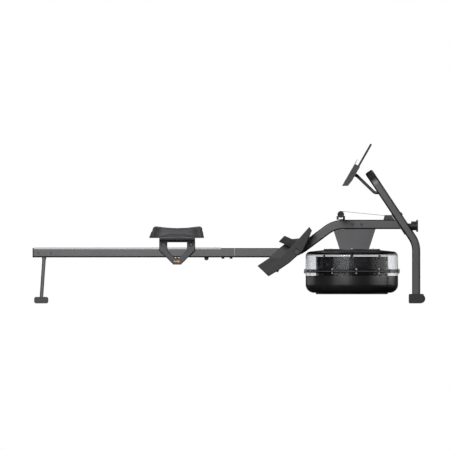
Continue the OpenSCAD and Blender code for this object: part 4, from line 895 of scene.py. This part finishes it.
# %% Camera
PICTURE_WIDE, CAMERA_AT = 2.3985, (-0.0208, -6, 0.418)
camera_data = bpy.data.cameras.new("camera")
camera_data.type = "ORTHO"
camera_data.ortho_scale = PICTURE_WIDE
camera_data.clip_end = 50
camera = bpy.data.objects.new("camera", camera_data)
bpy.context.scene.collection.objects.link(camera)
camera.location = CAMERA_AT
camera.rotation_euler = (pi/2, 0, 0)
bpy.context.scene.camera = camera
bpy.context.scene.view_settings.view_transform = "Standard"
print("the picture is", PICTURE_WIDE, "m wide")

# %% Floor
# Half a millimetre below the feet, so that two surfaces never share a place.
FLOOR_WIDE, FLOOR_Z = 60, -0.0005
bpy.ops.object.select_all(action="DESELECT")
bpy.ops.mesh.primitive_plane_add(size=FLOOR_WIDE, location=(0, 0, FLOOR_Z))
floor = bpy.context.object
floor.name = "floor"
# Flat white paint, without a mirror image of the machine.
floor_paint, tree, shader = new_finish("pale_floor", "#F4F4F4", 0.9, **{"Specular IOR Level": 0.1})
# The camera sees the floor pale. It throws less light back up, so the machine's undersides stay dark.
by_ray = add_node(tree, "ShaderNodeMix", {
    "data_type": "RGBA", 6: linear("#3A3A3A"), 7: linear("#F4F4F4")}, {
    0: add_node(tree, "ShaderNodeLightPath").outputs["Is Camera Ray"]})
tree.links.new(by_ray.outputs[2], shader.inputs["Base Color"])
floor.data.materials.append(floor_paint)

# %% [markdown]
# The studio is a white backdrop behind the machine and a darker room in front of it. The camera sees
# white all round, and glass shows the backdrop behind it. Gloss sees bright panels at the left and at
# the right and a dark room elsewhere, which keeps black plastic black and gives the edges of the tubes
# their dark outlines. The even light that falls on matt surfaces is weaker. An image of a studio could
# be wrapped round the scene instead, but a few shares of a ray's direction are easier to change.

# %% World
EVEN_LIGHT, ROOM = 0.12, 0.1
# A ray's share of a panel's direction says how much of the panel it meets: where the panel starts and
# where it is full, then its light at both.
PANELS = {"backdrop": (0.0, 0.7, ROOM, 0.95), "left": (0.9, 0.99, 0.0, 1.5),
          "right": (0.7, 0.93, ROOM, 3.2)}
# The left panel stands to the left and behind.
LEFT_X, LEFT_Y = -0.8, 0.6
world = bpy.data.worlds.new("studio")
bpy.context.scene.world = world
world.use_nodes = True
tree = world.node_tree
tree.nodes.clear()
rays = add_node(tree, "ShaderNodeLightPath")
direction = add_node(tree, "ShaderNodeSeparateXYZ", links={
    "Vector": add_node(tree, "ShaderNodeTexCoord").outputs["Generated"]})
backward = add_node(tree, "ShaderNodeMath", {"operation": "MULTIPLY", 1: LEFT_Y}, {
    0: direction.outputs["Y"]})
behind_left = add_node(tree, "ShaderNodeMath", {"operation": "MULTIPLY_ADD", 1: LEFT_X}, {
    0: direction.outputs["X"], 2: backward.outputs[0]})
shares = {"backdrop": direction.outputs["Y"], "left": behind_left.outputs[0],
          "right": direction.outputs["X"]}
panels = {}
for name, share in shares.items():
    start, full, dim, bright = PANELS[name]
    panels[name] = add_node(tree, "ShaderNodeMapRange", {
        "From Min": start, "From Max": full, "To Min": dim, "To Max": bright},
        {"Value": share}).outputs["Result"]
in_gloss = add_node(tree, "ShaderNodeMath", {"operation": "ADD"}, {
    0: panels["left"], 1: panels["right"]})

# %% What each kind of ray sees
lit = add_node(tree, "ShaderNodeMix", {"data_type": "FLOAT", 2: EVEN_LIGHT}, {
    0: rays.outputs["Is Glossy Ray"], 3: in_gloss.outputs[0]})
lit = add_node(tree, "ShaderNodeMix", {"data_type": "FLOAT"}, {
    0: rays.outputs["Is Transmission Ray"], 2: lit.outputs[0], 3: panels["backdrop"]})
lit = add_node(tree, "ShaderNodeMix", {"data_type": "FLOAT", 3: 1.0}, {
    0: rays.outputs["Is Camera Ray"], 2: lit.outputs[0]})
sky = add_node(tree, "ShaderNodeBackground", {"Color": (1, 1, 1, 1)}, {"Strength": lit.outputs[0]})
add_node(tree, "ShaderNodeOutputWorld", links={"Surface": sky.outputs["Background"]})
print("the studio has", len(tree.nodes), "nodes")

# %% [markdown]
# Four soft boxes light the machine, as in a product studio. The key stands in front of it, high and a
# little to the left. One overhead is for the top edges, one at the left for the upright pieces at the
# front, and one high up behind for the tank and the rail's top. A sun would be simpler, but its shadows
# are hard.

# %% Lamps
def soft_box(name, place, aim, width, height, power):
    """A rectangular soft box at a place, turned to face aim."""
    lamp_data = bpy.data.lights.new(name, "AREA")
    lamp_data.shape = "RECTANGLE"
    lamp_data.size, lamp_data.size_y, lamp_data.energy = width, height, power
    lamp = bpy.data.objects.new(name, lamp_data)
    bpy.context.scene.collection.objects.link(lamp)
    lamp.location = place
    lamp.rotation_euler = (Vector(aim) - Vector(place)).to_track_quat("-Z", "Y").to_euler()


# Name, place, the point it faces, width, height and power in watts.
LAMPS = (
    ("key", (-0.7, -5.2, 1.9), (0.1, 0, 0.3), 2.0, 1.3, 155),
    ("box_above", (-0.1, -0.6, 3.2), (0, 0, 0.3), 4.0, 1.4, 14),
    ("box_left", (-1.0, -3.4, 1.0), (0.65, 0, 1.0), 2.8, 2.0, 24),
    ("box_behind", (0.3, 3.0, 4.6), (0.1, 0, 0.3), 4.0, 1.4, 70))
for lamp in LAMPS:
    soft_box(*lamp)
    print(lamp[0], lamp[-1], "W")
